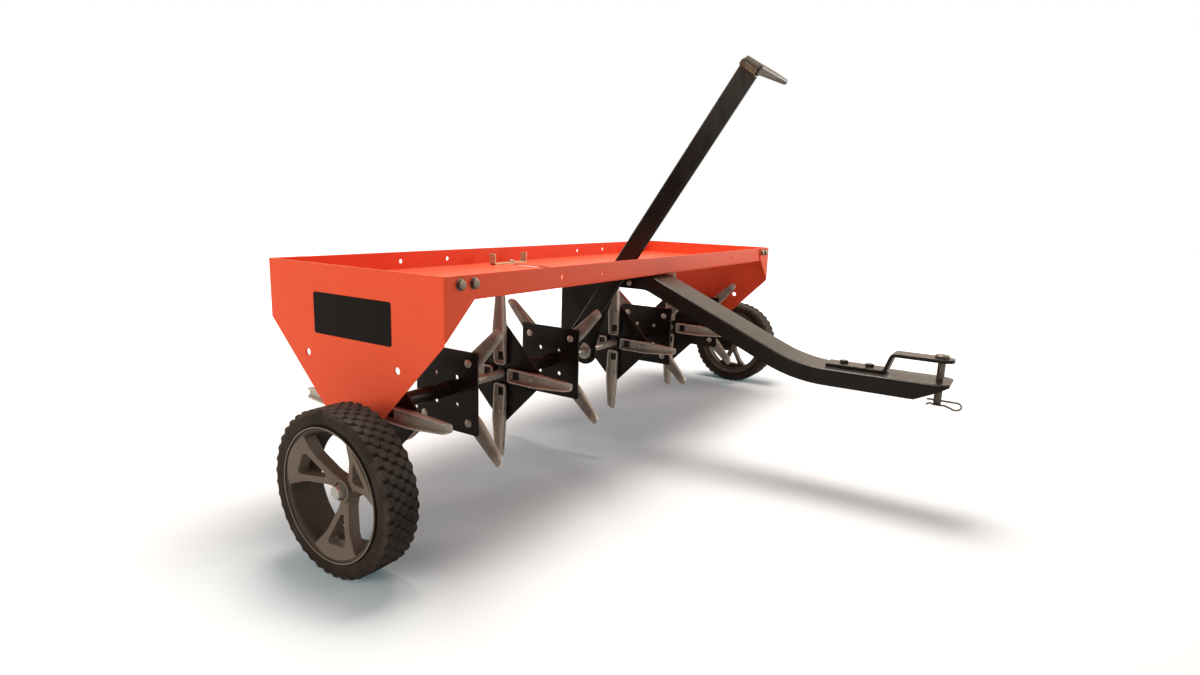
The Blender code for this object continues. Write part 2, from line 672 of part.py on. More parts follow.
def make_reels(lift):
    spoon = spoon_mesh()
    hub = reel_hub_mesh()
    inner = CENTRE_SPACING / 2 + STAR_PITCH / 2
    outer = inner + 2 * STAR_PITCH
    for reel, centre_x in enumerate((-outer, -inner, inner, outer), start=1):
        axis = empty(f"reel_{reel}_axis", (centre_x, 0.0, 0.0), lift)
        add_part(f"reel_{reel}_hub", hub, ENAMEL, axis)
        for side, start in ((-1, 0.0), (1, 45.0)):
            star = 2 * reel - 1 if side < 0 else 2 * reel
            face_x = side * (STAR_PITCH / 2 + STAR_PLATE_SHEET / 2 + GAP)
            flip = Matrix.Rotation(0.0 if side < 0 else math.pi, 4, "Z")
            for quarter in range(4):
                turn = Matrix.Rotation(math.radians(start + 90.0 * quarter), 4, "X")
                place = Matrix.Translation((face_x, 0.0, 0.0)) @ turn @ flip
                add_part(f"star_{star}_spoon_{quarter + 1}", spoon, STAMPED, axis, place)


def make_shaft(lift):
    return add_part("cross_shaft", smooth(rod_mesh("cross_shaft", "X", SHAFT_RADIUS, (0, 0, 0), 2 * SHAFT_REACH)),
                    PLATED, lift)


def make_lever(lift):
    """A channel that opens to +X, welded to a boss on the shaft. A strip on top bends over into a tongue."""
    lean = Matrix.Rotation(LEVER_LEAN, 4, "X")
    half = LEVER_WIDTH / 2
    fold = rounded_path([(LEVER_X + LEVER_FLANGE, half), (LEVER_X, half), (LEVER_X, -half),
                         (LEVER_X + LEVER_FLANGE, -half)], (LEVER_FOLD, LEVER_FOLD), 3)
    end = GRIP_BOTTOM - GAP
    channel = outline_mesh("lift_lever", [strip_outline(fold, LEVER_SHEET)], end - LEVER_START, "XY")
    channel.transform(Matrix.Translation((0.0, 0.0, (end + LEVER_START) / 2)))
    lever = add_part("lift_lever", channel, ENAMEL, lift, lean)
    corners = [(TONGUE_END_X, LEVER_TOP), (LEVER_X, LEVER_TOP), (LEVER_X, end - TONGUE_LAP)]
    bend = rounded_path(corners, (LEVER_BEND,))
    combine(lever, "UNION", outline_mesh("tongue", [strip_outline(bend, LEVER_SHEET)], TONGUE_WIDTH, "XZ"))
    boss_x = LEVER_X + LEVER_FLANGE / 2
    boss = rod_mesh("lever_boss", "X", LEVER_BOSS_RADIUS, (boss_x, 0.0, 0.0), LEVER_BOSS_LENGTH)
    combine(lever, "UNION", boss)
    drill(lever, "lever_bore", "X", BORE_RADIUS, (boss_x, 0.0, 0.0), THROUGH, SHAFT_SEGMENTS)
    return lever


def make_grip(lift):
    """A long rubber handle, rounded at its end, with a pocket that takes the lever's bend and tongue."""
    lean = Matrix.Rotation(LEVER_LEAN, 4, "X")
    slab = outline_mesh("lever_grip", [GRIP_OUTLINE], GRIP_WIDTH + SPARE, "XZ")
    grip = add_part("lever_grip", slab, GRIP, lift, lean)
    half = GRIP_WIDTH / 2
    corner_x = GRIP_END_X - GRIP_CORNER
    plan = [(GRIP_START_X - SPARE, half), (GRIP_START_X - SPARE, -half)]
    plan += arc_points((corner_x, GRIP_CORNER - half), GRIP_CORNER, -90.0, 0.0, 5)
    plan += arc_points((corner_x, half - GRIP_CORNER), GRIP_CORNER, 0.0, 90.0, 5)
    cutter = outline_mesh("grip_plan", [plan], THROUGH, "XY")
    cutter.transform(Matrix.Translation((0.0, 0.0, LEVER_TOP)))
    combine(grip, "INTERSECT", cutter)
    bevel(grip, GRIP_EDGE, 2, 50.0)
    top = LEVER_TOP + GAP
    corners = [(TONGUE_END_X + GAP, top), (LEVER_X - GAP, top), (LEVER_X - GAP, GRIP_BOTTOM - SPARE)]
    pocket = strip_outline(rounded_path(corners, (LEVER_BEND + GAP,)), LEVER_SHEET + 2 * GAP)
    combine(grip, "DIFFERENCE", outline_mesh("grip_pocket", [pocket], TONGUE_WIDTH + 2 * GAP, "XZ"))
    return grip


def make_stop(parent):
    floor = TRAY_TOP - TRAY_HEIGHT + TRAY_SHEET + GAP
    corners = [(STOP_LEFT_X, floor + STOP_HEIGHT), (STOP_LEFT_X, floor), (STOP_RIGHT_X, floor),
               (STOP_RIGHT_X, floor + STOP_HEIGHT)]
    path = rounded_path(corners, (STOP_BEND, STOP_BEND), 3)
    side = outline_mesh("lever_stop", [strip_outline(path, STOP_SHEET)], STOP_WIDTH, "XZ")
    side.transform(Matrix.Translation((0.0, STOP_Y, 0.0)))
    return add_part("lever_stop", side, PLATED, parent)


def make_arm(name, lift, side):
    """A flat arm from the shaft to the wheel, with the wheel's stub axle welded to its outer face."""
    down = SHAFT_HEIGHT - WHEEL_RADIUS
    reach = math.hypot(WHEEL_Y, down)
    swing = math.atan2(-WHEEL_Y, -down)
    turn = Matrix.Rotation(swing, 4, "X")
    half = ARM_WIDTH / 2
    outline = arc_points((0.0, 0.0), half, 180.0, 360.0, 10) + arc_points((0.0, reach), half, 0.0, 180.0, 10)
    plate = outline_mesh(name, [outline], ARM_SHEET, "YZ")
    plate.transform(Matrix.Translation((side * ARM_X, 0.0, 0.0)))
    arm = add_part(name, plate, ENAMEL, lift, turn)
    length = STUB_END_X - ARM_X
    stub = rod_mesh("stub_axle", "X", SHAFT_RADIUS, (side * (ARM_X + length / 2), 0.0, reach), length)
    combine(arm, "UNION", stub)
    drill(arm, "arm_bore", "X", BORE_RADIUS, (side * ARM_X, 0.0, 0.0), THROUGH, SHAFT_SEGMENTS)
    return arm


def spoke_mesh():
    """Twin legs that spread from the hub to the rim round a window, dished so that they rise towards the rim."""
    base = 90.0
    end = arc_points((0.0, 0.0), SPOKE_END_RADIUS, base - SPOKE_END_SPREAD, base + SPOKE_END_SPREAD, 8)
    side = list(SPOKE_SIDE)
    window = list(SPOKE_WINDOW)
    outer = side + end + [(-half, out) for half, out in reversed(side)]
    inner = window + [(-half, out) for half, out in reversed(window)]
    mesh = outline_mesh("spoke", [outer, inner], SPOKE_DEPTH, "YZ")
    mesh.transform(Matrix((
        (1.0, 0.0, SPOKE_SLOPE, SPOKE_FRONT - SPOKE_DEPTH / 2),
        (0.0, 1.0, 0.0, 0.0),
        (0.0, 0.0, 1.0, 0.0),
        (0.0, 0.0, 0.0, 1.0),
    )))
    return mesh


def make_rim():
    """A moulded rim: a barrel with a lip on each side and a throat at the back, three dished spokes and a hub."""
    seat_half = TYRE_BEAD_HALF + GAP
    profile = [
        (RIM_LIP_RADIUS, RIM_HALF), (RIM_LIP_RADIUS, RIM_HALF - 0.004), (RIM_SEAT_RADIUS, seat_half),
        (RIM_SEAT_RADIUS, -seat_half), (RIM_LIP_RADIUS, -RIM_HALF + 0.004), (RIM_LIP_RADIUS, -RIM_HALF),
        (RIM_LIP_RADIUS - 0.003, -RIM_HALF), (RIM_INNER_RADIUS, -RIM_HALF + 0.007),
        (RIM_THROAT_RADIUS, -RIM_HALF + 0.0085), (RIM_THROAT_RADIUS, -RIM_HALF + 0.0115),
        (RIM_THROAT_RADIUS + 0.0017, -RIM_HALF + 0.016), (RIM_INNER_RADIUS, 0.004),
        (RIM_INNER_RADIUS, RIM_HALF - 0.004), (RIM_LIP_RADIUS - 0.003, RIM_HALF),
    ]
    rim = turned_part("rim", profile, MOULDED, None)
    length = HUB_OUTER - HUB_INNER
    centre = (HUB_OUTER + HUB_INNER) / 2
    combine(rim, "UNION", rod_mesh("hub", "X", HUB_RADIUS, (centre, 0.0, 0.0), length))
    for spoke in range(SPOKE_COUNT):
        turn = Matrix.Rotation(SPOKE_START + math.tau * spoke / SPOKE_COUNT, 4, "X")
        combine(rim, "UNION", spoke_mesh(), turn)
    recess_at = (HUB_FLOOR + THROUGH / 2, 0.0, 0.0)
    drill(rim, "hub_recess", "X", HUB_RECESS_RADIUS, recess_at, THROUGH, SHAFT_SEGMENTS)
    drill(rim, "hub_bore", "X", BORE_RADIUS, (0.0, 0.0, 0.0), 2 * THROUGH, SHAFT_SEGMENTS)
    mesh = baked_part(rim)
    bpy.data.objects.remove(rim)
    return mesh


def make_tyre():
    """A small solid tyre: a square shouldered tread over straight side walls that stand outside the rim's lips."""
    profile = [
        (RIM_SEAT_RADIUS + GAP, TYRE_BEAD_HALF), (RIM_LIP_RADIUS + GAP, RIM_HALF - 0.0045),
        (RIM_LIP_RADIUS + 0.004, TYRE_HALF), (WHEEL_RADIUS - 0.010, TYRE_HALF),
        (WHEEL_RADIUS - 0.0035, TYRE_HALF - 0.0008), (WHEEL_RADIUS - 0.0005, TYRE_HALF - 0.004),
        (WHEEL_RADIUS, TYRE_HALF - 0.009),
    ]
    mirrored = [(radius, -along) for radius, along in reversed(profile)]
    tyre = turned_part("tyre", profile + mirrored, TREAD, None)
    mesh = baked_part(tyre)
    bpy.data.objects.remove(tyre)
    return mesh


def make_wheels(lift):
    rim = make_rim()
    tyre = make_tyre()
    drop = WHEEL_RADIUS - SHAFT_HEIGHT
    for name, side in (("left", -1), ("right", 1)):
        axis = empty(f"wheel_{name}_axis", (side * WHEEL_X, WHEEL_Y, drop), lift)
        facing = Matrix.Rotation(0.0 if side > 0 else math.pi, 4, "Z")
        add_part(f"wheel_{name}_rim", rim, MOULDED, axis, facing)
        add_part(f"wheel_{name}_tyre", tyre, TREAD, axis, facing)
        make_arm(f"wheel_arm_{name}", lift, side)
        make_wheel_bolt(f"wheel_bolt_{name}", lift, side, drop)


def make_wheel_bolt(name, lift, side, drop):
    """A washer on the floor of the hub's recess and the hexagon head on top of it."""
    face = WHEEL_X + HUB_FLOOR + GAP
    place = Matrix.Translation((0.0, WHEEL_Y, drop))
    washer_x = face + WHEEL_WASHER / 2
    washer = rod_mesh(name, "X", WHEEL_WASHER_RADIUS, (side * washer_x, 0.0, 0.0), WHEEL_WASHER, 20)
    bolt = add_part(name, washer, PLATED, lift, place)
    top = face + WHEEL_WASHER + WHEEL_HEAD
    head_x = (washer_x + top) / 2
    head = rod_mesh("bolt_head", "X", WHEEL_HEAD_RADIUS, (side * head_x, 0.0, 0.0), top - washer_x, 6)
    combine(bolt, "UNION", head)
    return bolt


def make_aerator():
    machine = empty("aerator", (0.0, SHAFT_Y, 0.0))
    lift = empty("lift_axis", (0.0, 0.0, SHAFT_HEIGHT), machine)
    make_tray(machine)
    make_end_plates(machine)
    make_hanger(machine)
    make_bushes(machine)
    make_drawbar(machine)
    make_hitch(machine)
    make_pin(machine)
    make_clip(machine)
    make_stop(machine)
    make_shaft(lift)
    make_lever(lift)
    make_grip(lift)
    make_reels(lift)
    make_wheels(lift)


make_aerator()
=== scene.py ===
# Tow-behind lawn aerator: the finish of every surface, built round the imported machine.
# X runs across the machine, the drawbar points to -Y, metres throughout.

import math

import bmesh
import bpy
import numpy as np
from mathutils import Matrix, Vector


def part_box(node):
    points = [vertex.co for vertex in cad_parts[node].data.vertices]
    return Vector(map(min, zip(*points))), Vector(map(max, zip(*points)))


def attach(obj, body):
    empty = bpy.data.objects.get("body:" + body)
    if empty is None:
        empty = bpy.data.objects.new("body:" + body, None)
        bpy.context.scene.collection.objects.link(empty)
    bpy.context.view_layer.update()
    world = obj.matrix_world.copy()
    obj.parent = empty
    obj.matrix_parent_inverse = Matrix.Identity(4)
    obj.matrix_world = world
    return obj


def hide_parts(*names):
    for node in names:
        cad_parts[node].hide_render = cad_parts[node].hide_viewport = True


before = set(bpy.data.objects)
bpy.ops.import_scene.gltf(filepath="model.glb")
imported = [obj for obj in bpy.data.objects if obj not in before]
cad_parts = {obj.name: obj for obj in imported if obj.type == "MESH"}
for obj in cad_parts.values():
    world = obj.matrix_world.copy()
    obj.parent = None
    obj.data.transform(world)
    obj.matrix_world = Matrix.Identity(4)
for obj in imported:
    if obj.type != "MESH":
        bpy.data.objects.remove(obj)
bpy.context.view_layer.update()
scene = bpy.context.scene
sides = {"left": -1, "right": 1}  # which way along X each lies


# Mesh tools

def boxOf(node):
    # a node's lowest corner, middle and highest corner
    low, high = (np.array(corner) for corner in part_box(node))
    return low, (low + high) / 2, high


def faceOf(node, side):
    # the X of a node's left or right face
    return boxOf(node)[0 if side < 0 else 2][0]


shaftLow, shaftMiddle, shaftHigh = boxOf("cross_shaft")
shaftY, shaftZ = shaftMiddle[1:]
shaftPoint = (0.0, shaftY, shaftZ)
shaftRadius = (shaftHigh[2] - shaftLow[2]) / 2
mergeReach = 0.000004  # points closer than this become one
cutReach = 0.01  # how far a cutter passes the face of a sheet


def turned(degrees, axis):
    return Matrix.Rotation(math.radians(degrees), 4, axis)


def setAll(item, **settings):
    for key, value in settings.items():
        setattr(item, key, value)
    return item


def unit(vectors):
    return vectors / np.linalg.norm(vectors, axis=-1, keepdims=True)


def smoothStep(low, high, value):
    # 3t^2 - 2t^3 of how far the value is from low to high
    t = np.clip((value - low) / (high - low), 0.0, 1.0)
    return t * t * (3.0 - 2.0 * t)


def rectangle(left, bottom, right, top):
    return np.array([(left, bottom), (right, bottom), (right, top), (left, top)], float)


def gridFaces(rows, columns, loopRows=False, loopColumns=True):
    # the cells between neighbouring rows and columns of a point grid that is numbered row by row
    row, column = np.indices((rows - (not loopRows), columns - (not loopColumns)))
    nextRow, nextColumn = (row + 1) % rows, (column + 1) % columns
    cells = [row * columns + column, row * columns + nextColumn,
             nextRow * columns + nextColumn, nextRow * columns + column]
    return np.stack(cells, axis=-1).reshape(-1, 4).tolist()


def loftShell(rings):
    # rings[i, j]: point j of closed ring i. Neighbours are joined, and the first and last get end faces
    rows, columns = rings.shape[:2]
    ends = [list(range(columns)), list(range((rows - 1) * columns, rows * columns))]
    return rings.reshape(-1, 3), gridFaces(rows, columns) + ends


def prismShell(section, heights):
    # the section in the XY plane, carried up to each height
    return loftShell(np.stack([np.insert(section, 2, z, axis=1) for z in heights]))


def roundedLoop(corners, radii, steps=5):
    # each corner becomes the arc of its radius that touches both sides: centre + radius * turned unit vector
    corners = np.asarray(corners, float)
    radii = np.broadcast_to(np.maximum(radii, 0.00002), corners.shape[:-1])[..., None]
    back = unit(np.roll(corners, 1, axis=-2) - corners)
    ahead = unit(np.roll(corners, -1, axis=-2) - corners)
    half = np.arccos(np.clip((back * ahead).sum(-1, keepdims=True), -0.9999999, 0.9999999)) / 2
    centre = corners + unit(back + ahead) * radii / np.sin(half)
    first = (corners + back * radii / np.tan(half) - centre)[..., None, :]
    last = (corners + ahead * radii / np.tan(half) - centre)[..., None, :]
    turn = (math.pi - 2 * half)[..., None]
    share = np.linspace(0.0, 1.0, steps + 1)[:, None]
    arcs = (np.sin((1.0 - share) * turn) * first + np.sin(share * turn) * last) / np.sin(turn)
    return (centre[..., None, :] + arcs).reshape(*corners.shape[:-2], -1, 2)


def lengthsAlong(path):
    return np.concatenate([[0.0], np.cumsum(np.linalg.norm(np.diff(path, axis=0), axis=1))])


def pathAt(path, lengths, marks):
    # the points of the path at the lengths that are marked
    return np.stack([np.interp(marks, lengths, path[:, k]) for k in (0, 1)], axis=1)


def bentPath(corners, radii, spacing, steps=10):
    # a chain of straight runs with an arc at each inner corner, cut into even steps along its length
    path = roundedLoop(corners, [0.0, *radii, 0.0], steps)[steps:-steps]
    lengths = lengthsAlong(path)
    marks = np.linspace(0.0, lengths[-1], max(2, int(lengths[-1] / spacing)))
    marks = np.union1d(marks, lengths[1:-1])
    return pathAt(path, lengths, marks[np.diff(marks, prepend=-1.0) > 0.00005])


def leftOf(runs):
    # unit vectors a quarter turn to the left
    return unit(np.stack([-runs[:, 1], runs[:, 0]], axis=1))


def pathNormals(path):
    return leftOf(np.gradient(path, axis=0))


def evenLoop(loop, count):
    # the closed loop cut into count equal steps
    closed = np.concatenate([loop, loop[:1]])
    lengths = lengthsAlong(closed)
    return pathAt(closed, lengths, np.linspace(0.0, lengths[-1], count, endpoint=False))


def cornerGrid(*pairs):
    # a section's corners at each place along a path, from (across, up) pairs with a value for each place
    return np.stack([np.stack(np.broadcast_arrays(*pair), axis=1) for pair in pairs], axis=1)


def sweptShell(path, upward, section):
    # P(i, j) = path(i) + upward(i) * up(j) in the YZ plane from the shaft's Y, with across(j) along x
    across, up = section[..., 0], section[..., 1]
    return loftShell(np.stack([across, shaftY + path[:, :1] + upward[:, :1] * up,
                               path[:, 1:] + upward[:, 1:] * up], axis=-1))


def spunShell(profile, origin, axis=(1, 0, 0), segments=48, closed=True, hexagon=None):
    # P(angle, k) = origin + height(k) * axis + radius(k) * (cos * across + sin * up). With a hexagon's half
    # width, the radius stays inside it: half width / cosine of the angle from the nearest flat's middle
    profile = np.asarray(profile, float)
    axis = unit(np.asarray(axis, float))
    across = unit(np.cross([0.0, 0.0, 1.0] if abs(axis[2]) < 0.9 else [0.0, 1.0, 0.0], axis))
    angle = np.linspace(0.0, math.tau, segments, endpoint=False)[:, None]
    radius = np.broadcast_to(profile[:, 0], (segments, len(profile)))
    if hexagon:
        sector = math.tau / 6
        radius = np.minimum(radius, hexagon / np.cos((angle + sector / 2) % sector - sector / 2))
    spokes = np.cos(angle)[..., None] * across + np.sin(angle)[..., None] * np.cross(axis, across)
    points = np.asarray(origin) + profile[:, 1:] * axis + radius[..., None] * spokes
    return points.reshape(-1, 3), gridFaces(segments, len(profile), True, closed)


def rodShell(origin, axis, radius, reach, segments):
    # a rod with its middle at the origin
    profile = [(0.0, -reach), (radius, -reach), (radius, reach), (0.0, reach)]
    return spunShell(profile, origin, axis, segments, False)


def domeShell(origin, axis, radius, height):
    # a round head: radius * cos(a), height * sin(a), over a short straight edge
    lift = np.linspace(0.0, math.pi / 2, 8)
    edge = height * 0.25
    profile = np.stack([radius * np.cos(lift), edge + (height - edge) * np.sin(lift)], axis=1)
    profile[-1, 0] = 0.0
    return spunShell([(0.0, 0.0), (radius, 0.0), *profile], origin, axis, 28, False)


def washerShell(origin, axis, radius, bore, thickness):
    corners = rectangle(bore, 0.0, radius, thickness)
    return spunShell(roundedLoop(corners, min(0.0004, thickness / 3), 2), origin, axis, 32)


def hexShell(origin, axis, flats, height, bore=0.0):
    # a six-sided head or nut, with a 30 degree chamfer on its top corners
    half = flats / 2
    corner = half / math.cos(math.pi / 6)
    top = half * 0.94
    drop = (corner - top) / math.sqrt(3.0)
    rise = np.linspace(0.0, 1.0, 6)
    chamfer = np.stack([corner + (top - corner) * rise, height - drop + drop * rise], axis=1)
    profile = [(bore, 0.0), (corner, 0.0), *chamfer, (bore, height)]
    return spunShell(profile, origin, axis, 72, bore > 0.0, half)


def spineOf(plan, first, last):
    # the line along the middle that a pan's floor runs to
    return np.stack([np.clip(plan[:, 0], first, last), np.zeros(len(plan))], axis=1)


def panShell(plan, spine, depth, fold, sheet, mouth=1.0, steps=5):
    # a pressed pan: the plan loop moved inwards by insets at heights, up the outer wall, over the round lip,
    # down the inner wall and across both floors to the spine. mouth scales the wall's height along the plan
    inward = leftOf(np.roll(plan, -1, axis=0) - np.roll(plan, 1, axis=0))[:, None, :]
    depth, mouth = (np.broadcast_to(value, len(plan))[:, None] for value in (depth, mouth))
    turn = np.linspace(0.0, math.pi / 2, steps)
    over = np.linspace(0.0, math.pi, 2 * steps - 1)
    lip, innerFold = sheet / 2, fold - sheet
    insets = np.concatenate([fold * (1 - np.sin(turn)), lip * (1 - np.cos(over)),
                             sheet + innerFold * (1 - np.sin(turn[::-1]))])
    share = np.linspace(0.0, 1.0, len(over))
    heights = np.concatenate([fold * (1 - np.cos(turn)) * mouth,
                              (depth - lip + lip * np.sin(over)) * mouth + sheet * (1 - mouth) * share,
                              sheet + innerFold * (1 - np.cos(turn[::-1])) * mouth], axis=1)
    walls = np.concatenate([plan[:, None, :] + inward * insets[:, None], heights[..., None]], axis=2)
    floorOut, floorIn = (np.insert(spine, 2, z, axis=1)[:, None, :] for z in (0.0, sheet))
    points = np.concatenate([floorOut, walls, floorIn], axis=1)
    return points.reshape(-1, 3), gridFaces(len(plan), points.shape[1], True, False)


def tidyMesh(mesh, turnOut=False, flatAngle=0.0):
    shape = bmesh.new()
    shape.from_mesh(mesh)
    bmesh.ops.remove_doubles(shape, verts=shape.verts, dist=mergeReach)
    bmesh.ops.dissolve_degenerate(shape, edges=shape.edges, dist=mergeReach)
    if flatAngle:
        bmesh.ops.dissolve_limit(shape, angle_limit=math.radians(flatAngle), verts=shape.verts,
                                 edges=shape.edges)
    if turnOut:
        bmesh.ops.recalc_face_normals(shape, faces=shape.faces)
    shape.to_mesh(mesh)
    shape.free()
    return mesh


def stackMesh(shells):
    # the shells side by side in one mesh, with their faces turned outwards
    points, faces, count = [], [], 0
    for shellPoints, shellFaces in shells:
        points.append(shellPoints)
        faces += [[index + count for index in face] for face in shellFaces]
        count += len(shellPoints)
    mesh = bpy.data.meshes.new("shells")
    mesh.from_pydata(np.concatenate(points).tolist(), [], faces)
    return tidyMesh(mesh, True)


def bakedMesh(item, *helpers):
    # the object's mesh as its modifiers leave it, without the object and its helpers
    for thing in (item, *helpers):
        scene.collection.objects.link(thing)
    graph = bpy.context.evaluated_depsgraph_get()
    mesh = bpy.data.meshes.new_from_object(item.evaluated_get(graph), depsgraph=graph)
    for thing in (item, *helpers):
        bpy.data.objects.remove(thing)
    return mesh


def carvedMesh(mesh, cutterShells):
    item = bpy.data.objects.new("carved", mesh)
    cutter = bpy.data.objects.new("cutter", stackMesh(cutterShells))
    setAll(item.modifiers.new("cut", "BOOLEAN"), operation="DIFFERENCE", solver="EXACT", object=cutter)
    return bakedMesh(item, cutter)


def pointsOf(mesh):
    points = np.empty(len(mesh.vertices) * 3)
    mesh.vertices.foreach_get("co", points)
    return points.reshape(-1, 3)


def paintValue(mesh, name, values):
    # a value at each point that a material reads by name
    mesh.attributes.new(name, "FLOAT", "POINT").data.foreach_set("value", values)


def sheetShell(outlines, thickness, rounding, place):
    # a flat blank filled between its outlines, with round edges, moved by place from the XY plane
    curve = setAll(bpy.data.curves.new("blank", "CURVE"), dimensions="2D", fill_mode="BOTH",
                   extrude=thickness / 2 - rounding, bevel_depth=rounding, bevel_resolution=1,
                   offset=-rounding)
    for outline in outlines:
        spline = setAll(curve.splines.new("POLY"), use_cyclic_u=True)
        spline.points.add(len(outline) - 1)
        spline.points.foreach_set("co", np.insert(np.insert(outline, 2, 0.0, axis=1), 3, 1.0, axis=1).ravel())
    mesh = bakedMesh(bpy.data.objects.new("blank", curve))
    mesh.transform(place)
    return pointsOf(mesh), [list(face.vertices) for face in mesh.polygons]


def addPiece(name, shape, finish, body, node=None, sharp=35.0, rounding=0.0):
    # puts a mesh or a list of shells in the scene, on its body and in place of the node that it covers
    mesh = stackMesh(shape) if isinstance(shape, list) else shape
    material, slotName = finishes[finish]
    mesh.materials.clear()
    mesh.materials.append(material)
    mesh.shade_smooth()
    mesh.set_sharp_from_angle(angle=math.radians(sharp))
    piece = bpy.data.objects.new(name, mesh)
    scene.collection.objects.link(piece)
    if rounding:
        setAll(piece.modifiers.new("edges", "BEVEL"), width=rounding, segments=2, limit_method="ANGLE",
               angle_limit=math.radians(32.0), harden_normals=True)
    else:
        setAll(piece.modifiers.new("flatFaces", "WEIGHTED_NORMAL"), keep_sharp=True, weight=80)
    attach(piece, body)
    if node:
        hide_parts(node)


def softenNode(node, name, finish, body, rounding):
    # a copy of the node's mesh, merged, with its flat faces joined and its edges rounded, stands for the node
    mesh = tidyMesh(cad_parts[node].data.copy(), False, 0.8)
    addPiece(name, mesh, finish, body, node, 30.0, rounding)


# Shader nodes

def addNode(tree, kind, inputs=None, **settings):
    # a shader node with its settings, where an input value may be a plain value or another node's output
    node = setAll(tree.nodes.new("ShaderNode" + kind), **settings)
    for key, value in (inputs or {}).items():
        if isinstance(value, bpy.types.NodeSocket):
            tree.links.new(value, node.inputs[key])
        else:
            node.inputs[key].default_value = value
    return node


def opaque(value):
    # a plain colour gets its alpha, and anything else stays as it is
    return (*value, 1.0) if isinstance(value, tuple) else value


def mathNode(tree, operation, *values):
    return addNode(tree, "Math", dict(enumerate(values)), operation=operation).outputs[0]


def mapTo(tree, value, fromLow, fromHigh, low, high):
    return addNode(tree, "MapRange", {"Value": value, "From Min": fromLow, "From Max": fromHigh,
                                      "To Min": low, "To Max": high}).outputs[0]


def mixColour(tree, share, first, second):
    return addNode(tree, "Mix", {0: share, 6: opaque(first), 7: opaque(second)}, data_type="RGBA").outputs[2]


def noiseAt(tree, place, scale, detail, roughness=0.5, stretch=None):
    if stretch:
        place = addNode(tree, "Mapping", {"Vector": place, "Scale": stretch}).outputs[0]
    return addNode(tree, "TexNoise", {"Vector": place, "Scale": scale, "Detail": detail,
                                      "Roughness": roughness}).outputs["Fac"]


# Camera and light

view = {
    "place": (-1.237, -0.5444, 0.4924),
    "yaw": -57.674,  # degrees from +Y, turning left
    "pitch": -10.655,
    "roll": 1.843,
    "focal": 690.0 / 1200.0 * 36.0,  # mm on a 36 mm wide frame
}


def makeCamera():
    data = setAll(bpy.data.cameras.new("view"), sensor_fit="HORIZONTAL", sensor_width=36.0,
                  lens=view["focal"], clip_start=0.02)
    camera = bpy.data.objects.new("view", data)
    facing = turned(view["yaw"], "Z") @ turned(90.0 + view["pitch"], "X") @ turned(view["roll"], "Z")
    camera.matrix_world = Matrix.Translation(view["place"]) @ facing
    scene.collection.objects.link(camera)
    scene.camera = camera


lampColour = (1.0, 0.93, 0.86)
lamps = {
    # name: place, point it faces, width, height, power in watts, whether gloss shows it
    "left": ((-3.2, 0.8, 0.90), (0.0, 0.15, 0.2), 1.8, 1.3, 45.0, False),
    "overhead": ((0.25, 0.45, 2.6), (0.0, 0.1, 0.1), 1.4, 1.1, 80.0, True),
    "front": ((2.0, -1.3, 0.8), (0.3, 0.0, 0.25), 1.3, 1.1, 24.0, True),
}
white = (1.0, 1.0, 1.0)
surround = {
    "light": (0.265, 0.248, 0.230),  # what the dome gives a surface
    "gloss": (0.96, 0.80, 0.65),  # what a reflection shows of it
    "floor": (0.83, 0.867, 0.90),
    "floorInGloss": (0.26, 0.24, 0.22),
    "lift": (0.0, 0.004, 0.006),  # painted light: a glow added to the floor's shadows, tinted against the orange bounce from the paint
    "liftUnder": (0.0, 0.066, 0.082),  # the same painted glow, stronger, under the reels
    "under": (0.10, 0.50),  # distance from the reels over which one turns into the other
    "fade": (0.95, 2.2),  # distance over which the floor goes plain white
    "reach": 9.0,
    "card": 0.03,  # glow of the dark card on the camera's side, which only gloss shows
    "cardTurn": (-42.0, 78.0),  # degrees from the camera's direction, to the left when positive
    "cardAway": 3.4,
    "cardHeights": (0.02, 3.2),
}


def makeLamps():
    for name, (place, target, width, height, power, inGloss) in lamps.items():
        data = setAll(bpy.data.lights.new(name, "AREA"), shape="RECTANGLE", size=width, size_y=height,
                      energy=power, color=lampColour)
        lamp = setAll(bpy.data.objects.new(name, data), location=place, visible_glossy=inGloss)
        lamp.rotation_euler = (Vector(target) - Vector(place)).to_track_quat("-Z", "Y").to_euler()
        scene.collection.objects.link(lamp)


def makeStage(name, corners, faces, colour, glow=0.0):
    # a matt surface round the object, which may glow
    material = bpy.data.materials.new(name)
    material.use_nodes = True
    shader = material.node_tree.nodes["Principled BSDF"].inputs
    for key, value in {"Base Color": colour, "Roughness": 0.9, "Specular IOR Level": 0.1,
                       "Emission Color": white, "Emission Strength": glow}.items():
        shader[key].default_value = opaque(value)
    mesh = bpy.data.meshes.new(name)
    mesh.from_pydata(corners, [], faces)
    mesh.materials.append(material)
    item = bpy.data.objects.new(name, mesh)
    scene.collection.objects.link(item)
    return item, material.node_tree, shader


def seenDirectly(tree):
    # 1 for what the camera, a gloss reflection or a clear body sees, and 0 for light that falls on a surface
    path = addNode(tree, "LightPath").outputs
    both = mathNode(tree, "MAXIMUM", path["Is Camera Ray"], path["Is Glossy Ray"])
    return mathNode(tree, "MAXIMUM", both, path["Is Transmission Ray"])


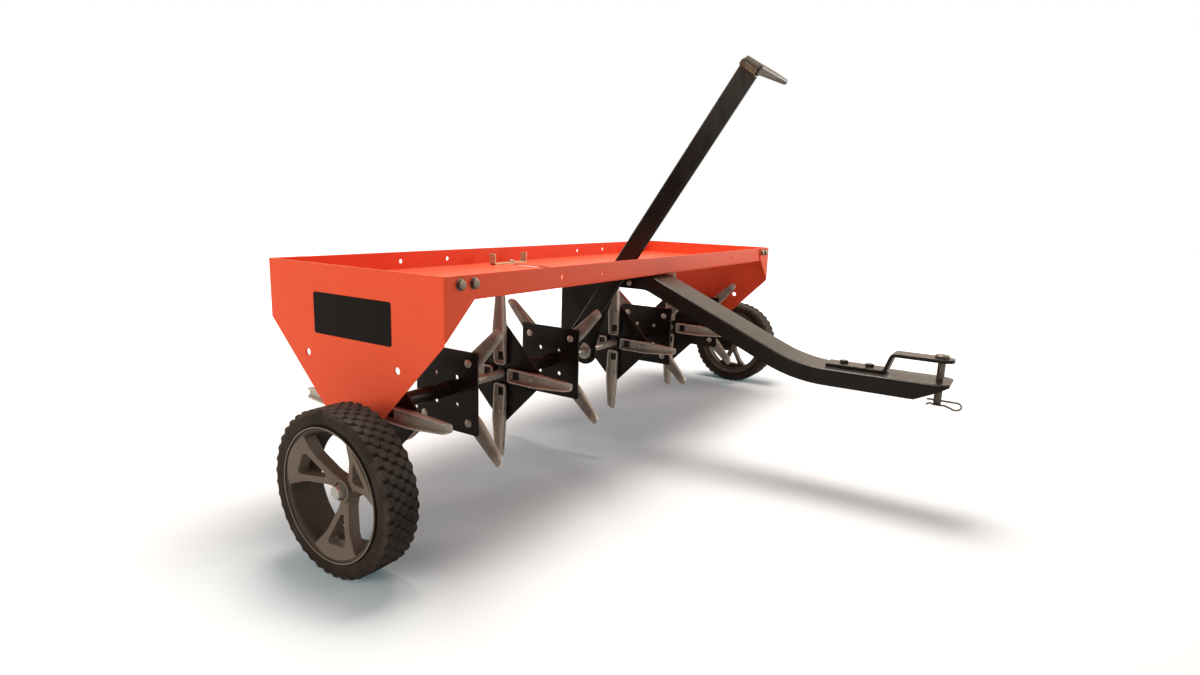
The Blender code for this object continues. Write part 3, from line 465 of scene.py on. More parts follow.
def makeSurround():
    world = bpy.data.worlds.new("studio")
    world.use_nodes = True
    tree = world.node_tree
    path = addNode(tree, "LightPath").outputs
    shade = mixColour(tree, path["Is Glossy Ray"], surround["light"], surround["gloss"])
    shade = mixColour(tree, path["Is Camera Ray"], shade, white)
    tree.links.new(shade, tree.nodes["Background"].inputs["Color"])
    scene.world = world

    reach = surround["reach"]
    corners = [(x, y, 0.0) for x, y in rectangle(-reach, -reach, reach, reach)]
    tree, shader = makeStage("studioFloor", corners, [(0, 1, 2, 3)], surround["floor"])[1:]
    place = addNode(tree, "TexCoord").outputs["Object"]
    away = addNode(tree, "VectorMath", {0: place}, operation="LENGTH").outputs["Value"]
    beside = addNode(tree, "Mapping", {"Vector": place, "Location": (0.0, -shaftY, 0.0),
                                       "Scale": (0.4, 1.0, 0.0)})
    beside = addNode(tree, "VectorMath", {0: beside.outputs[0]}, operation="LENGTH").outputs["Value"]
    # painted light: the floor glows in its shadows, tinted against the orange bounce and stronger under the
    # reels
    under = mapTo(tree, beside, *surround["under"], 1.0, 0.0)
    glow = mixColour(tree, under, surround["lift"], surround["liftUnder"])
    glow = mixColour(tree, mapTo(tree, away, *surround["fade"], 0.0, 1.0), glow, white)
    inGloss = addNode(tree, "LightPath").outputs["Is Glossy Ray"]
    strength = mathNode(tree, "MULTIPLY", seenDirectly(tree), mapTo(tree, inGloss, 0.0, 1.0, 1.1, 0.3))
    colour = mixColour(tree, inGloss, surround["floor"], surround["floorInGloss"])
    for key, value in {"Base Color": colour, "Emission Color": glow, "Emission Strength": strength}.items():
        tree.links.new(value, shader[key])

    # a dark card round the camera's side keeps the black enamel black
    turns = np.radians(view["yaw"] + 180.0 - np.linspace(*surround["cardTurn"], 13))
    edge = np.stack([-np.sin(turns), np.cos(turns)], axis=1) * surround["cardAway"]
    corners = [(x, y, z) for z in surround["cardHeights"] for x, y in edge]
    faces = gridFaces(2, len(edge), False, False)
    card = makeStage("darkCard", corners, faces, (0.0, 0.0, 0.0), surround["card"])[0]
    for ray in ("camera", "diffuse", "shadow", "transmission"):
        setattr(card, f"visible_{ray}", False)
    scene.view_settings.view_transform = "Standard"


# Finishes

def startGroup(name, **inputs):
    # a shader node group with an input for each value, and the point that its patterns are worked out for
    group = bpy.data.node_groups.new(name, "ShaderNodeTree")
    for label, value in inputs.items():
        kind = "NodeSocketColor" if isinstance(value, tuple) else "NodeSocketFloat"
        socket = group.interface.new_socket(name=label, in_out="INPUT", socket_type=kind)
        socket.default_value = opaque(value)
    return group, group.nodes.new("NodeGroupInput").outputs, addNode(group, "TexCoord").outputs["Object"]


def endGroup(group, **outputs):
    for label in outputs:
        kind = "NodeSocketColor" if label == "Colour" else "NodeSocketFloat"
        group.interface.new_socket(name=label, in_out="OUTPUT", socket_type=kind)
    gives = group.nodes.new("NodeGroupOutput").inputs
    for label, value in outputs.items():
        group.links.new(value, gives[label])
    return group


def makeSprayGroup():
    # sprayed powder: drifting tone, a fine peel in the film, wiped smudges, and a tan film on what faces up
    # that is dust and a painted sheen
    group, given, place = startGroup("sprayedFilm", Colour=white, Drift=0.0, Roughness=0.3, Smudge=0.0,
                                     Dust=0.0)
    lighter = mathNode(group, "MULTIPLY_ADD", noiseAt(group, place, 7.0, 4.0), 2.0, -1.0)
    gain = mathNode(group, "MULTIPLY_ADD", lighter, given["Drift"], 1.0)
    toned = addNode(group, "VectorMath", {0: given["Colour"], "Scale": gain}, operation="SCALE").outputs[0]
    smudge = noiseAt(group, place, 22.0, 5.0, 0.6, (1.0, 1.6, 0.8))
    up = addNode(group, "SeparateXYZ", {0: addNode(group, "NewGeometry").outputs["Normal"]}).outputs["Z"]
    # a tan film on what faces up: dust and a painted sheen
    lying = mathNode(group, "MULTIPLY", mapTo(group, up, 0.3, 1.0, 0.15, 1.0), smudge)
    dust = mathNode(group, "MULTIPLY", lying, given["Dust"])
    wiped = mathNode(group, "MULTIPLY_ADD", mathNode(group, "SUBTRACT", smudge, 0.5), given["Smudge"],
                     given["Roughness"])
    peel = noiseAt(group, place, 620.0, 1.5, 0.4)
    return endGroup(group, Colour=mixColour(group, dust, toned, (0.62, 0.56, 0.50)),
                    Roughness=mathNode(group, "ADD", wiped, dust),
                    Height=mathNode(group, "MULTIPLY_ADD", noiseAt(group, place, 2400.0, 1.0), 0.15, peel))


def makeMetalGroup():
    # bare or plated metal: two tones in blotches, drawn scratches, pits, and a lighter tone where a value on
    # the mesh marks wear and painted light
    group, given, place = startGroup("workedMetal", Light=white, Dark=white, Blotch=60.0, Contrast=1.0,
                                     Roughness=0.35, Scatter=0.15, Worn=0.0, Bare=white)
    blotch = noiseAt(group, place, given["Blotch"], 6.0, 0.62)
    fine = noiseAt(group, place, 480.0, 4.0, 0.6)
    drawn = noiseAt(group, place, 160.0, 3.0, 0.6, (1.0, 7.0, 7.0))
    share = mathNode(group, "MULTIPLY_ADD", blotch, 0.75, mathNode(group, "MULTIPLY", fine, 0.25))
    share = mathNode(group, "MULTIPLY_ADD", mathNode(group, "SUBTRACT", share, 0.5), given["Contrast"], 0.5)
    share = addNode(group, "Clamp", {0: share}).outputs[0]
    plain = mixColour(group, share, given["Dark"], given["Light"])
    rubbed = mathNode(group, "MULTIPLY", given["Worn"], mapTo(group, fine, 0.35, 0.65, 0.45, 1.0))
    rough = mathNode(group, "MULTIPLY_ADD", mathNode(group, "SUBTRACT", 0.5, share), given["Scatter"],
                     given["Roughness"])
    return endGroup(group, Colour=mixColour(group, rubbed, plain, given["Bare"]), Roughness=rough,
                    Height=mathNode(group, "MULTIPLY_ADD", drawn, 0.6, fine))


def makeMouldGroup():
    # moulded rubber or plastic: spark-eroded grain, soft tone drift, and clouds of a paler tone that are dust
    # and, where the mesh's values ask for it, a painted sheen
    group, given, place = startGroup("mouldedSkin", Colour=white, Bloom=white, Dust=0.35, Roughness=0.6,
                                     Grain=900.0)
    cloud = mapTo(group, noiseAt(group, place, 26.0, 6.0, 0.6), 0.35, 0.75, 0.0, 1.0)
    dusty = mathNode(group, "MULTIPLY", cloud, given["Dust"])
    return endGroup(group, Colour=mixColour(group, dusty, given["Colour"], given["Bloom"]),
                    Roughness=mathNode(group, "MULTIPLY_ADD", dusty, 0.3, given["Roughness"]),
                    Height=noiseAt(group, place, given["Grain"], 2.0))


def makeFinish(name, slotName, group, bumpHeight, metallic, specular, **values):
    # a Principled material with its colour, roughness and bump from a shared group. A value that is a name is
    # read from the mesh
    material = bpy.data.materials.new(name)
    material.use_nodes = True
    tree = material.node_tree
    shader = tree.nodes["Principled BSDF"].inputs
    film = addNode(tree, "Group", node_tree=group)
    for key, value in values.items():
        if isinstance(value, str):
            tree.links.new(addNode(tree, "Attribute", attribute_name=value).outputs["Fac"], film.inputs[key])
        else:
            film.inputs[key].default_value = opaque(value)
    bump = addNode(tree, "Bump", {"Height": film.outputs["Height"], "Distance": bumpHeight, "Strength": 1.0})
    tree.links.new(film.outputs["Colour"], shader["Base Color"])
    tree.links.new(film.outputs["Roughness"], shader["Roughness"])
    tree.links.new(bump.outputs[0], shader["Normal"])
    shader["Metallic"].default_value = metallic
    shader["Specular IOR Level"].default_value = specular
    return material, slotName


def makeFinishes():
    # material, slot, group, height of the bump, metallic, specular level, the group's values
    spray, metal, mould = makeSprayGroup(), makeMetalGroup(), makeMouldGroup()
    black = {"Colour": (0.0078, 0.0052, 0.0036), "Drift": 0.15, "Roughness": 0.20, "Smudge": 0.16}
    return {
        "orange": makeFinish("orangePaint", "orange_paint", spray, 0.000008, 0.0, 0.12, Dust=0.03,
                             Colour=(0.77, 0.093, 0.037), Drift=0.04, Roughness=0.30, Smudge=0.10),
        "black": makeFinish("blackEnamel", "black_enamel", spray, 0.000008, 0.0, 0.30, Dust=0.12, **black),
        "lever": makeFinish("leverEnamel", "black_enamel", spray, 0.000008, 0.0, 0.30, Dust="dust", **black),
        "label": makeFinish("barePlate", "black_enamel", spray, 0.000004, 0.0, 0.12, Dust=0.02,
                            Colour=(0.0085, 0.0062, 0.0048), Drift=0.10, Roughness=0.34, Smudge=0.10),
        # the lighter Bare tone shows where the mesh marks wear and painted light: lips, tip and the trough's
        # inside
        "spoon": makeFinish("bronzedSteel", "bronzed_steel", metal, 0.00002, 0.2, 0.5, Contrast=1.9,
                            Light=(0.42, 0.38, 0.325), Dark=(0.13, 0.112, 0.090), Blotch=42.0,
                            Roughness=0.36, Scatter=0.22, Worn="worn", Bare=(0.76, 0.71, 0.62)),
        "zinc": makeFinish("zincPlate", "zinc_plate", metal, 0.00001, 0.5, 0.5, Light=(0.74, 0.74, 0.68),
                           Dark=(0.44, 0.43, 0.38), Contrast=1.3, Roughness=0.28),
        "steel": makeFinish("pinSteel", "zinc_plate", metal, 0.00001, 0.9, 0.5, Light=(0.36, 0.32, 0.27),
                            Dark=(0.10, 0.083, 0.066), Contrast=1.8, Roughness=0.30),
        "brass": makeFinish("yellowPlate", "zinc_plate", metal, 0.00001, 0.5, 0.5, Light=(0.66, 0.54, 0.36),
                            Dark=(0.36, 0.27, 0.16), Blotch=80.0, Contrast=1.5, Roughness=0.34),
        "rim": makeFinish("rimPlastic", "rim_plastic", mould, 0.000012, 0.0, 0.30, Roughness=0.42,
                          Colour=(0.138, 0.104, 0.080), Bloom=(0.185, 0.148, 0.118)),
        # a darker copy of the rim plastic: painted shade inside the barrel
        "barrel": makeFinish("rimBarrel", "rim_plastic", mould, 0.000012, 0.0, 0.20, Roughness=0.50,
                             Colour=(0.060, 0.045, 0.035), Bloom=(0.105, 0.082, 0.065)),
        # a lighter copy of the rim plastic: a painted highlight on the lip ring
        "lip": makeFinish("rimLip", "rim_plastic", mould, 0.000006, 0.0, 0.40, Colour=(0.24, 0.19, 0.155),
                          Bloom=(0.30, 0.25, 0.20), Dust=0.5, Roughness=0.35),
        "rubber": makeFinish("tyreRubber", "tyre_rubber", mould, 0.00003, 0.0, 0.18, Dust="dust",
                             Colour=(0.020, 0.0145, 0.0110), Bloom=(0.082, 0.062, 0.048), Roughness=0.50,
                             Grain=1100.0),
        # its tan paler colour is a painted sheen on the grip
        "grip": makeFinish("gripRubber", "grip_rubber", mould, 0.00001, 0.0, 0.45, Dust="dust",
                           Colour=(0.012, 0.009, 0.007), Bloom=(0.300, 0.215, 0.140), Roughness=0.28),
    }


print("camera, light and finishes")
makeCamera()
makeLamps()
makeSurround()
finishes = makeFinishes()


# Tray and end plates

tray = {
    "sheet": 0.002,
    "fold": 0.0042,
    "corner": 0.0045,
    "holeRadius": 0.0042,
    "wallHolesX": (0.230, 0.350),
    "floorHoles": ((-0.339, 0.097), (0.034, 0.092), (0.170, 0.101)),  # x, y from the shaft
    "slotWidth": 0.024,
    "slotX": -0.080,
    "slotY": (-0.155, 0.137),
}
endPlate = {
    "sheet": 0.0025,
    "fold": 0.004,
    "shoulder": 0.312,
    "flangeReach": 0.064,
    "flangeStep": 0.026,
    "boreRadius": 0.0128,
    "holes": ((-0.098, 0.264, 0.0055), (0.098, 0.264, 0.0055)),  # y from the shaft, z, radius
    "rows": 13,
}


def makeTray():
    # a pan with straight walls, its wall and floor holes, and the slot that the lever runs in
    low, middle, high = boxOf("tray")
    half = (high - low)[:2] / 2
    plan = roundedLoop(rectangle(*-half, *half), tray["corner"], 6)
    reach = half[0] - half[1]
    spine = spineOf(plan, -reach, reach)
    points, faces = panShell(plan, spine, high[2] - low[2], tray["fold"], tray["sheet"])
    mesh = stackMesh([(points + [middle[0], middle[1], low[2]], faces)])
    radius = tray["holeRadius"]
    cutters = [rodShell((side * x, shaftY, middle[2]), (0, 1, 0), radius, 0.25, 20)
               for x in tray["wallHolesX"] for side in (-1, 1)]
    cutters += [rodShell((x, shaftY + y, low[2]), (0, 0, 1), radius, cutReach, 20)
                for x, y in tray["floorHoles"]]
    half = tray["slotWidth"] / 2
    front, back = (shaftY + y for y in tray["slotY"])
    slot = rectangle(tray["slotX"] - half, front, tray["slotX"] + half, back)
    cutters.append(prismShell(roundedLoop(slot, half * 0.98, 8), (low[2] - cutReach, low[2] + cutReach)))
    addPiece("trayPan", carvedMesh(mesh, cutters), "orange", "frame", "tray", 30.0)


def makeEndPlate(name, side):
    # a sheet bent round two upright folds: u along the plan (flange, fold, face, fold, flange), v from the
    # lower edge, which rises at 45 degrees to the shoulder and then along the flange, up to the top
    node = f"end_plate_{name}"
    low, _, high = boxOf(node)
    faceX = faceOf(node, side)
    corners = rectangle(faceX - side * endPlate["flangeReach"], low[1], faceX, high[1])
    plan = bentPath(corners, (endPlate["fold"],) * 2, 0.008, 6)
    shoulder, flangeEnd = endPlate["shoulder"], high[2] - endPlate["flangeStep"]
    foot = (high[1] - low[1]) / 2 - (shoulder - low[2])
    inset = np.abs(faceX - plan[:, 0]) / endPlate["flangeReach"]
    bottom = low[2] + np.clip(np.abs(plan[:, 1] - shaftY) - foot, 0.0, None)
    bottom = np.where(inset > 0.01, shoulder + (flangeEnd - shoulder) * inset, bottom)
    bottom = np.minimum(bottom, flangeEnd)
    rise = np.linspace(0.0, 1.0, endPlate["rows"])[:, None]
    grid = np.stack(np.broadcast_arrays(*plan.T, bottom + (high[2] - bottom) * rise), axis=-1)
    mesh = bpy.data.meshes.new("sheet")
    mesh.from_pydata(grid.reshape(-1, 3).tolist(), [], gridFaces(*grid.shape[:2], False, False))
    item = bpy.data.objects.new("sheet", tidyMesh(mesh))
    setAll(item.modifiers.new("sheet", "SOLIDIFY"), thickness=endPlate["sheet"], offset=-side,
           use_even_offset=True)
    solid = tidyMesh(bakedMesh(item), True)
    holes = (*endPlate["holes"], (0.0, shaftZ, endPlate["boreRadius"]))
    cutters = [rodShell((faceX, shaftY + y, z), (1, 0, 0), radius, cutReach, 28) for y, z, radius in holes]
    addPiece(f"endPlate{name.title()}", carvedMesh(solid, cutters), "orange", "frame", node, 30.0, 0.0004)


print("tray and end plates")
makeTray()
for name, side in sides.items():
    makeEndPlate(name, side)


# Reels

reel = {
    "plateSide": 0.1407,
    "plateSheet": 0.004,
    "plateCorner": 0.0025,
    "plateEdge": 0.0005,
    "tubeEdge": 0.0006,
    "seat": 0.002,  # gap between the bore and the hole in the plate
    "boltOut": 0.072,
    "slotOut": 0.034,
    "holeRadius": 0.0042,
    "boreRadius": 0.0087,
    "tubeRadius": 0.0125,
    "head": (0.0070, 0.0036),  # radius, height
    "nut": (0.0085, 0.0036, 0.0028),  # across its flats, height, bore
    # radius, height
    "stud": ((0.0, -0.004), (0.0029, -0.004), (0.0029, 0.0048), (0.0024, 0.0054), (0.0, 0.0054)),
}
spoon = {
    # distance out from the shaft, half width, depth of the walls, rounding in plan
    "stations": ((0.0180, 0.0135, 0.0090, 0.006), (0.0850, 0.0130, 0.0145, 0.10),
                 (0.1500, 0.0085, 0.0120, 0.030), (0.1600, 0.0060, 0.0070, 0.0045)),
    "mouthLength": 0.0075,  # over which the walls run out at the tip
    "mouthDrop": 0.80,
    "wornLip": (0.82, 0.96),  # share of the walls' height: wear and a painted highlight along the lips
    "wornTip": (0.138, 0.158),  # distances out
    "tipWear": 0.6,
    "wornTrough": (0.045, 0.115),
    "hubWear": 0.35,  # share that is left of it near the hub
    "around": 168,
    "sheet": 0.003,
    "fold": 0.0050,
    "squareHole": 0.0160,
    "rubbed": 0.85,  # how much lighter the trough's inside is made: soil wear and painted light
    "gap": 0.0003,
}


def makeSpoonMesh():
    # a pressed trough in its own frame: x away from the plate, y across, z out from the shaft
    out, half, depth, rounding = np.array(spoon["stations"]).T
    corners = np.concatenate([np.stack([out, -half], axis=1), np.stack([out, half], axis=1)[::-1]])
    plan = evenLoop(roundedLoop(corners, [*rounding, *rounding[::-1]], 10), spoon["around"])
    spine = spineOf(plan, out[0] + half[0], out[-1] - half[-1])
    mouth = smoothStep(out[-1] - spoon["mouthLength"], out[-1] - 0.0004, plan[:, 0])
    mouth = 1.0 - spoon["mouthDrop"] * mouth
    walls = np.interp(plan[:, 0], out, depth)
    points, faces = panShell(plan, spine, walls, spoon["fold"], spoon["sheet"], mouth)
    square, slotOut = spoon["squareHole"] / 2, reel["slotOut"]
    cutter = prismShell(rectangle(-0.02, -square, 0.02, square), (slotOut - square, slotOut + square))
    mesh = carvedMesh(stackMesh([(points[:, ::-1] * [-1, 1, 1], faces)]), [cutter])
    x, y, z = pointsOf(mesh).T
    # lighter marks on the mesh: wear and a painted highlight along the lips, wear at the tip, soil wear and
    # painted light inside the trough
    lip = smoothStep(*spoon["wornLip"], -x / np.interp(z, out, depth))
    tip = spoon["tipWear"] * smoothStep(*spoon["wornTip"], z)
    sheet = spoon["sheet"] * 0.9
    within = (x < -sheet) & (np.abs(y) < np.interp(z, out, half) - sheet)
    wear = spoon["hubWear"]
    rubbed = spoon["rubbed"] * within * (wear + (1.0 - wear) * smoothStep(*spoon["wornTrough"], z))
    paintValue(mesh, "worn", np.maximum.reduce([lip, tip, rubbed]))
    return mesh


def circle(centre, radius, count):
    angle = np.linspace(0.0, math.tau, count, endpoint=False)
    return centre + radius * np.stack([np.cos(angle), np.sin(angle)], axis=1)


def plateShell(plateX, turn, holes):
    # a square plate with a round hole for the tube and small ones along its diagonals
    half = reel["plateSide"] / 2
    outlines = [roundedLoop(rectangle(-half, -half, half, half), reel["plateCorner"], 4),
                circle((0.0, 0.0), reel["boreRadius"] + reel["seat"], 32)]
    for angle in np.radians([45.0, 135.0, 225.0, 315.0]):
        across, up = math.cos(angle), math.sin(angle)
        outlines += [circle((out * across, out * up), reel["holeRadius"], 20) for out in holes]
    place = Matrix.Translation((plateX, shaftY, shaftZ)) @ turned(turn, "X") @ turned(90.0, "Y")
    return sheetShell(outlines, reel["plateSheet"], reel["plateEdge"], place)


def makeReels():
    # two plates on a tube, 45 degrees apart, with a spoon, a bolt and a nut at each corner
    spoonMesh = makeSpoonMesh()
    boltOut, sheet = reel["boltOut"], reel["plateSheet"]
    for number in range(1, 5):
        body = f"reel_{number}"
        low, _, high = boxOf(f"{body}_hub")
        tube = rectangle(reel["boreRadius"], low[0], reel["tubeRadius"], high[0])
        hub = [spunShell(roundedLoop(tube, reel["tubeEdge"], 3), shaftPoint, (1, 0, 0), 64)]
        heads, nuts = [], []
        for side, star, start, holes in ((-1, 2 * number - 1, 0.0, (boltOut,)),
                                         (1, 2 * number, 45.0, (boltOut, reel["slotOut"]))):
            webX = faceOf(f"star_{star}_spoon_1", -side)
            plateX = webX - side * (spoon["gap"] + sheet / 2)
            hub.append(plateShell(plateX, 45.0 + start, holes))
            for quarter, letter in enumerate("ABCD"):
                angle = start + 90.0 * quarter
                mesh = spoonMesh.copy()
                mesh.transform(Matrix.Translation((webX, shaftY, shaftZ)) @ turned(angle, "X")
                               @ turned(0.0 if side < 0 else 180.0, "Z"))
                addPiece(f"spoon{star}{letter}", mesh, "spoon", body, f"star_{star}_spoon_{quarter + 1}")
                bolt = (shaftY - boltOut * math.sin(math.radians(angle)),
                        shaftZ + boltOut * math.cos(math.radians(angle)))
                nut = (webX + side * spoon["sheet"], *bolt)
                heads.append(domeShell((plateX - side * sheet / 2, *bolt), (-side, 0, 0), *reel["head"]))
                nuts.append(hexShell(nut, (side, 0, 0), *reel["nut"]))
                nuts.append(spunShell(reel["stud"], nut, (side, 0, 0), 20, False))
        addPiece(f"reelHub{number}", hub, "black", body, f"{body}_hub")
        addPiece(f"spoonBolts{number}", heads, "zinc", body)
        addPiece(f"spoonNuts{number}", nuts, "zinc", body)


print("reels")
makeReels()


# Cross shaft, bushes, hanger

bush = {
    "gap": 0.0005,  # from the shaft to the bore
    "sleeve": 0.0125,
    "flange": 0.0025,
    "rounding": (0.0003, 0.0006, 0.0006, 0.0003, 0.0004, 0.0003),
}


def makeShaft():
    first, last, radius, chamfer = shaftLow[0], shaftHigh[0], shaftRadius, 0.001
    profile = [(0.0, first), (radius - chamfer, first), (radius, first + chamfer), (radius, last - chamfer),
               (radius - chamfer, last), (0.0, last)]
    shell = spunShell(profile, shaftPoint, (1, 0, 0), 56, False)
    addPiece("crossShaft", [shell], "zinc", "lift", "cross_shaft")


def makeBush(place):
    # a sleeve through the sheet with a flange on its inner side
    low, _, high = boxOf(f"shaft_bush_{place}")
    first, last = (high[0], low[0]) if place == "left" else (low[0], high[0])
    step = first + math.copysign(bush["flange"], last - first)
    bore, sleeve, radius = shaftRadius + bush["gap"], bush["sleeve"], (high[2] - low[2]) / 2
    corners = [(bore, first), (radius, first), (radius, step), (sleeve, step), (sleeve, last), (bore, last)]
    shell = spunShell(roundedLoop(corners, bush["rounding"], 2), shaftPoint)
    addPiece(f"bush{place.title()}", [shell], "zinc", "frame", f"shaft_bush_{place}")


print("shaft, bushes and hanger")
makeShaft()
for place in ("left", "centre", "right"):
    makeBush(place)
softenNode("centre_hanger", "centreHanger", "black", "frame", 0.0006)
softenNode("lever_stop", "leverStop", "brass", "frame", 0.0004)


# Drawbar and hitch

drawbar = {
    "width": 0.084,
    "depth": 0.0295,
    "sheet": 0.004,
    "fold": 0.0046,
    "lip": 0.0006,
    "path": ((0.100, 0.3647), (-0.174, 0.3647), (-0.478, 0.2305), (-0.7215, 0.2305)),  # y from the shaft, z
    "bends": (0.080, 0.240),
    "noseY": -0.672,
    "noseWall": 0.0012,  # depth that the walls keep at the nose
    "noseCorner": 0.014,
}
strap = {
    "width": 0.039,
    "sheet": 0.006,
    "edge": 0.0012,
    # y from the shaft, z of the top
    "path": ((-0.522, 0.2368), (-0.617, 0.2368), (-0.627, 0.2680), (-0.7230, 0.2680)),
    "bends": (0.0045, 0.0105),
    "pinY": -0.7035,
    "pinHole": 0.0063,
    "bolts": (-0.549, -0.592),
    "head": (0.0125, 0.0052),  # across its flats, height
    "nut": (0.0125, 0.0065, 0.0036),  # across its flats, height, bore
    "washer": (0.0105, 0.003, 0.0015),  # radius, bore, thickness
    "stud": ((0.0, 0.0), (0.0039, 0.0), (0.0039, 0.0095), (0.0033, 0.0101), (0.0, 0.0101)),  # radius, height
}
pin = {
    "shank": 0.006,
    "head": 0.005,
    "rounding": (0.0, 0.0018, 0.0004, 0.0006, 0.0016, 0.0),
}


def makeDrawbar():
    # the folded channel's section, whose depth runs out at the nose and whose corners are cut there
    sheet, fold, tipY = drawbar["sheet"], drawbar["fold"], drawbar["path"][-1][0]
    path = bentPath(drawbar["path"], drawbar["bends"], 0.008)
    toTip = path[:, 0] - tipY
    thin = sheet + drawbar["noseWall"]
    depth = thin + (drawbar["depth"] - thin) * np.clip(toTip / (drawbar["noseY"] - tipY), 0.0, 1.0)
    half = drawbar["width"] / 2 - np.clip(drawbar["noseCorner"] - toTip, 0.0, None)
    corners = cornerGrid((-half, -depth), (-half, 0.0), (half, 0.0), (half, -depth), (half - sheet, -depth),
                         (half - sheet, -sheet), (sheet - half, -sheet), (sheet - half, -depth))
    lip = np.minimum(drawbar["lip"], (depth - sheet) * 0.4)
    inner = np.minimum(fold - sheet, (depth - sheet) * 0.45)
    outer = np.minimum(fold, depth * 0.45)
    radii = np.stack([lip, outer, outer, lip, lip, inner, inner, lip], axis=1)
    shell = sweptShell(path, -pathNormals(path), roundedLoop(corners, radii))
    addPiece("drawbarChannel", [shell], "black", "frame", "drawbar")


def makeStrap():
    # a flat bar bent twice, whose free end is half a circle: half width = sqrt(r^2 - d^2) beyond the pin
    path = bentPath(strap["path"], strap["bends"], 0.0012)
    radius, sheet = strap["width"] / 2, strap["sheet"]
    beyond = np.clip(strap["pinY"] - path[:, 0], 0.0, radius * 0.9995)
    half = np.sqrt(radius ** 2 - beyond ** 2)
    corners = cornerGrid((-half, 0.0), (half, 0.0), (half, sheet), (-half, sheet))
    edge = np.minimum(strap["edge"], half * 0.6)[:, None]
    mesh = stackMesh([sweptShell(path, pathNormals(path), roundedLoop(corners, edge, 4))])
    pinPlace = (0.0, shaftY + strap["pinY"], strap["path"][-1][1])
    mesh = carvedMesh(mesh, [rodShell(pinPlace, (0, 0, 1), strap["pinHole"], 0.012, 32)])
    addPiece("hitchBracket", mesh, "black", "frame", "hitch_bracket", 32.0)


def makeStrapBolts():
    shells = []
    up, down = (0, 0, 1), (0, 0, -1)
    for boltY in strap["bolts"]:
        over = (0.0, shaftY + boltY, strap["path"][0][1])
        under = np.array([0.0, shaftY + boltY, drawbar["path"][-1][1] - drawbar["sheet"]])
        shells += [hexShell(over, up, *strap["head"]), washerShell(under, down, *strap["washer"]),
                   hexShell(under - [0.0, 0.0, strap["washer"][-1]], down, *strap["nut"]),
                   spunShell(strap["stud"], under, down, 24, False)]
    addPiece("strapBolts", shells, "black", "frame")


def makePin():
    # a round shank with a flat head, turned about its own axis
    low, middle, high = boxOf("hitch_pin")
    shank, head, neck = pin["shank"], (high[0] - low[0]) / 2, high[2] - pin["head"]
    corners = [(0.0, low[2]), (shank, low[2]), (shank, neck), (head, neck), (head, high[2]), (0.0, high[2])]
    profile = np.maximum(roundedLoop(corners, pin["rounding"]), 0.0)
    shell = spunShell(profile, (*middle[:2], 0.0), (0, 0, 1), 48, False)
    addPiece("hitchPin", [shell], "steel", "pin", "hitch_pin")


print("drawbar and hitch")
makeDrawbar()
makeStrap()
makeStrapBolts()
makePin()
softenNode("hitch_pin_clip", "hitchPinClip", "steel", "clip", 0.0)


# Lever and grip

lever = {
    "lean": 34.0,
    "webX": -0.0845,
    "width": 0.037,
    "flange": 0.009,
    "sheet": 0.003,
    "fold": 0.0048,
    "edge": 0.0008,
    "start": 0.006,  # distances out from the shaft
    "end": 0.6532,
    "top": 0.668,
    "bend": 0.006,
    "tongueWidth": 0.029,
    "tongueStep": 0.0004,  # stands in from the web
    "tongueLap": 0.02,
    "tongueEndX": 0.050,
    "bossRadius": 0.0135,
    "bossLength": 0.030,
    "bossGap": 0.0006,
    "bossEdge": 0.0008,
    "dust": 0.12,
    "rubbed": 0.6,  # painted sheen: how much lighter the upper end is made
    "rubbedFrom": (0.43, 0.63),
}
grip = {
    # x, lower edge, upper edge, measured out from the shaft
    "side": ((-0.0875, 0.6535, 0.6650), (-0.0800, 0.6535, 0.6735), (-0.0760, 0.6536, 0.6735),
             (-0.0700, 0.6570, 0.6734), (0.0600, 0.6620, 0.6720), (0.0640, 0.6650, 0.6690)),
    "half": 0.0190,
    "endCorner": 0.012,
    "endEdge": 0.0022,
    "edge": 0.0042,
    "dotRows": 4,
    "dotColumns": 8,
    "dotStep": 0.0045,
    "dotRise": 0.0025,
    "dotRadius": 0.0015,
    "dotHeight": 0.0008,
    "dotSink": 0.0003,
    "dotDust": 1.6,
    "dustX": (-0.0865, -0.0840, -0.0700, 0.0640),  # painted sheen: dark at the dotted end, lightest just past it
    "dust": (0.02, 0.25, 0.80, 0.35),
}
wheelBolt = {
    "washer": (0.0110, 0.004, 0.0025),  # radius, bore, thickness
    "flats": 0.0160,
}
leverPlace = Matrix.Translation(shaftPoint) @ turned(lever["lean"], "X")


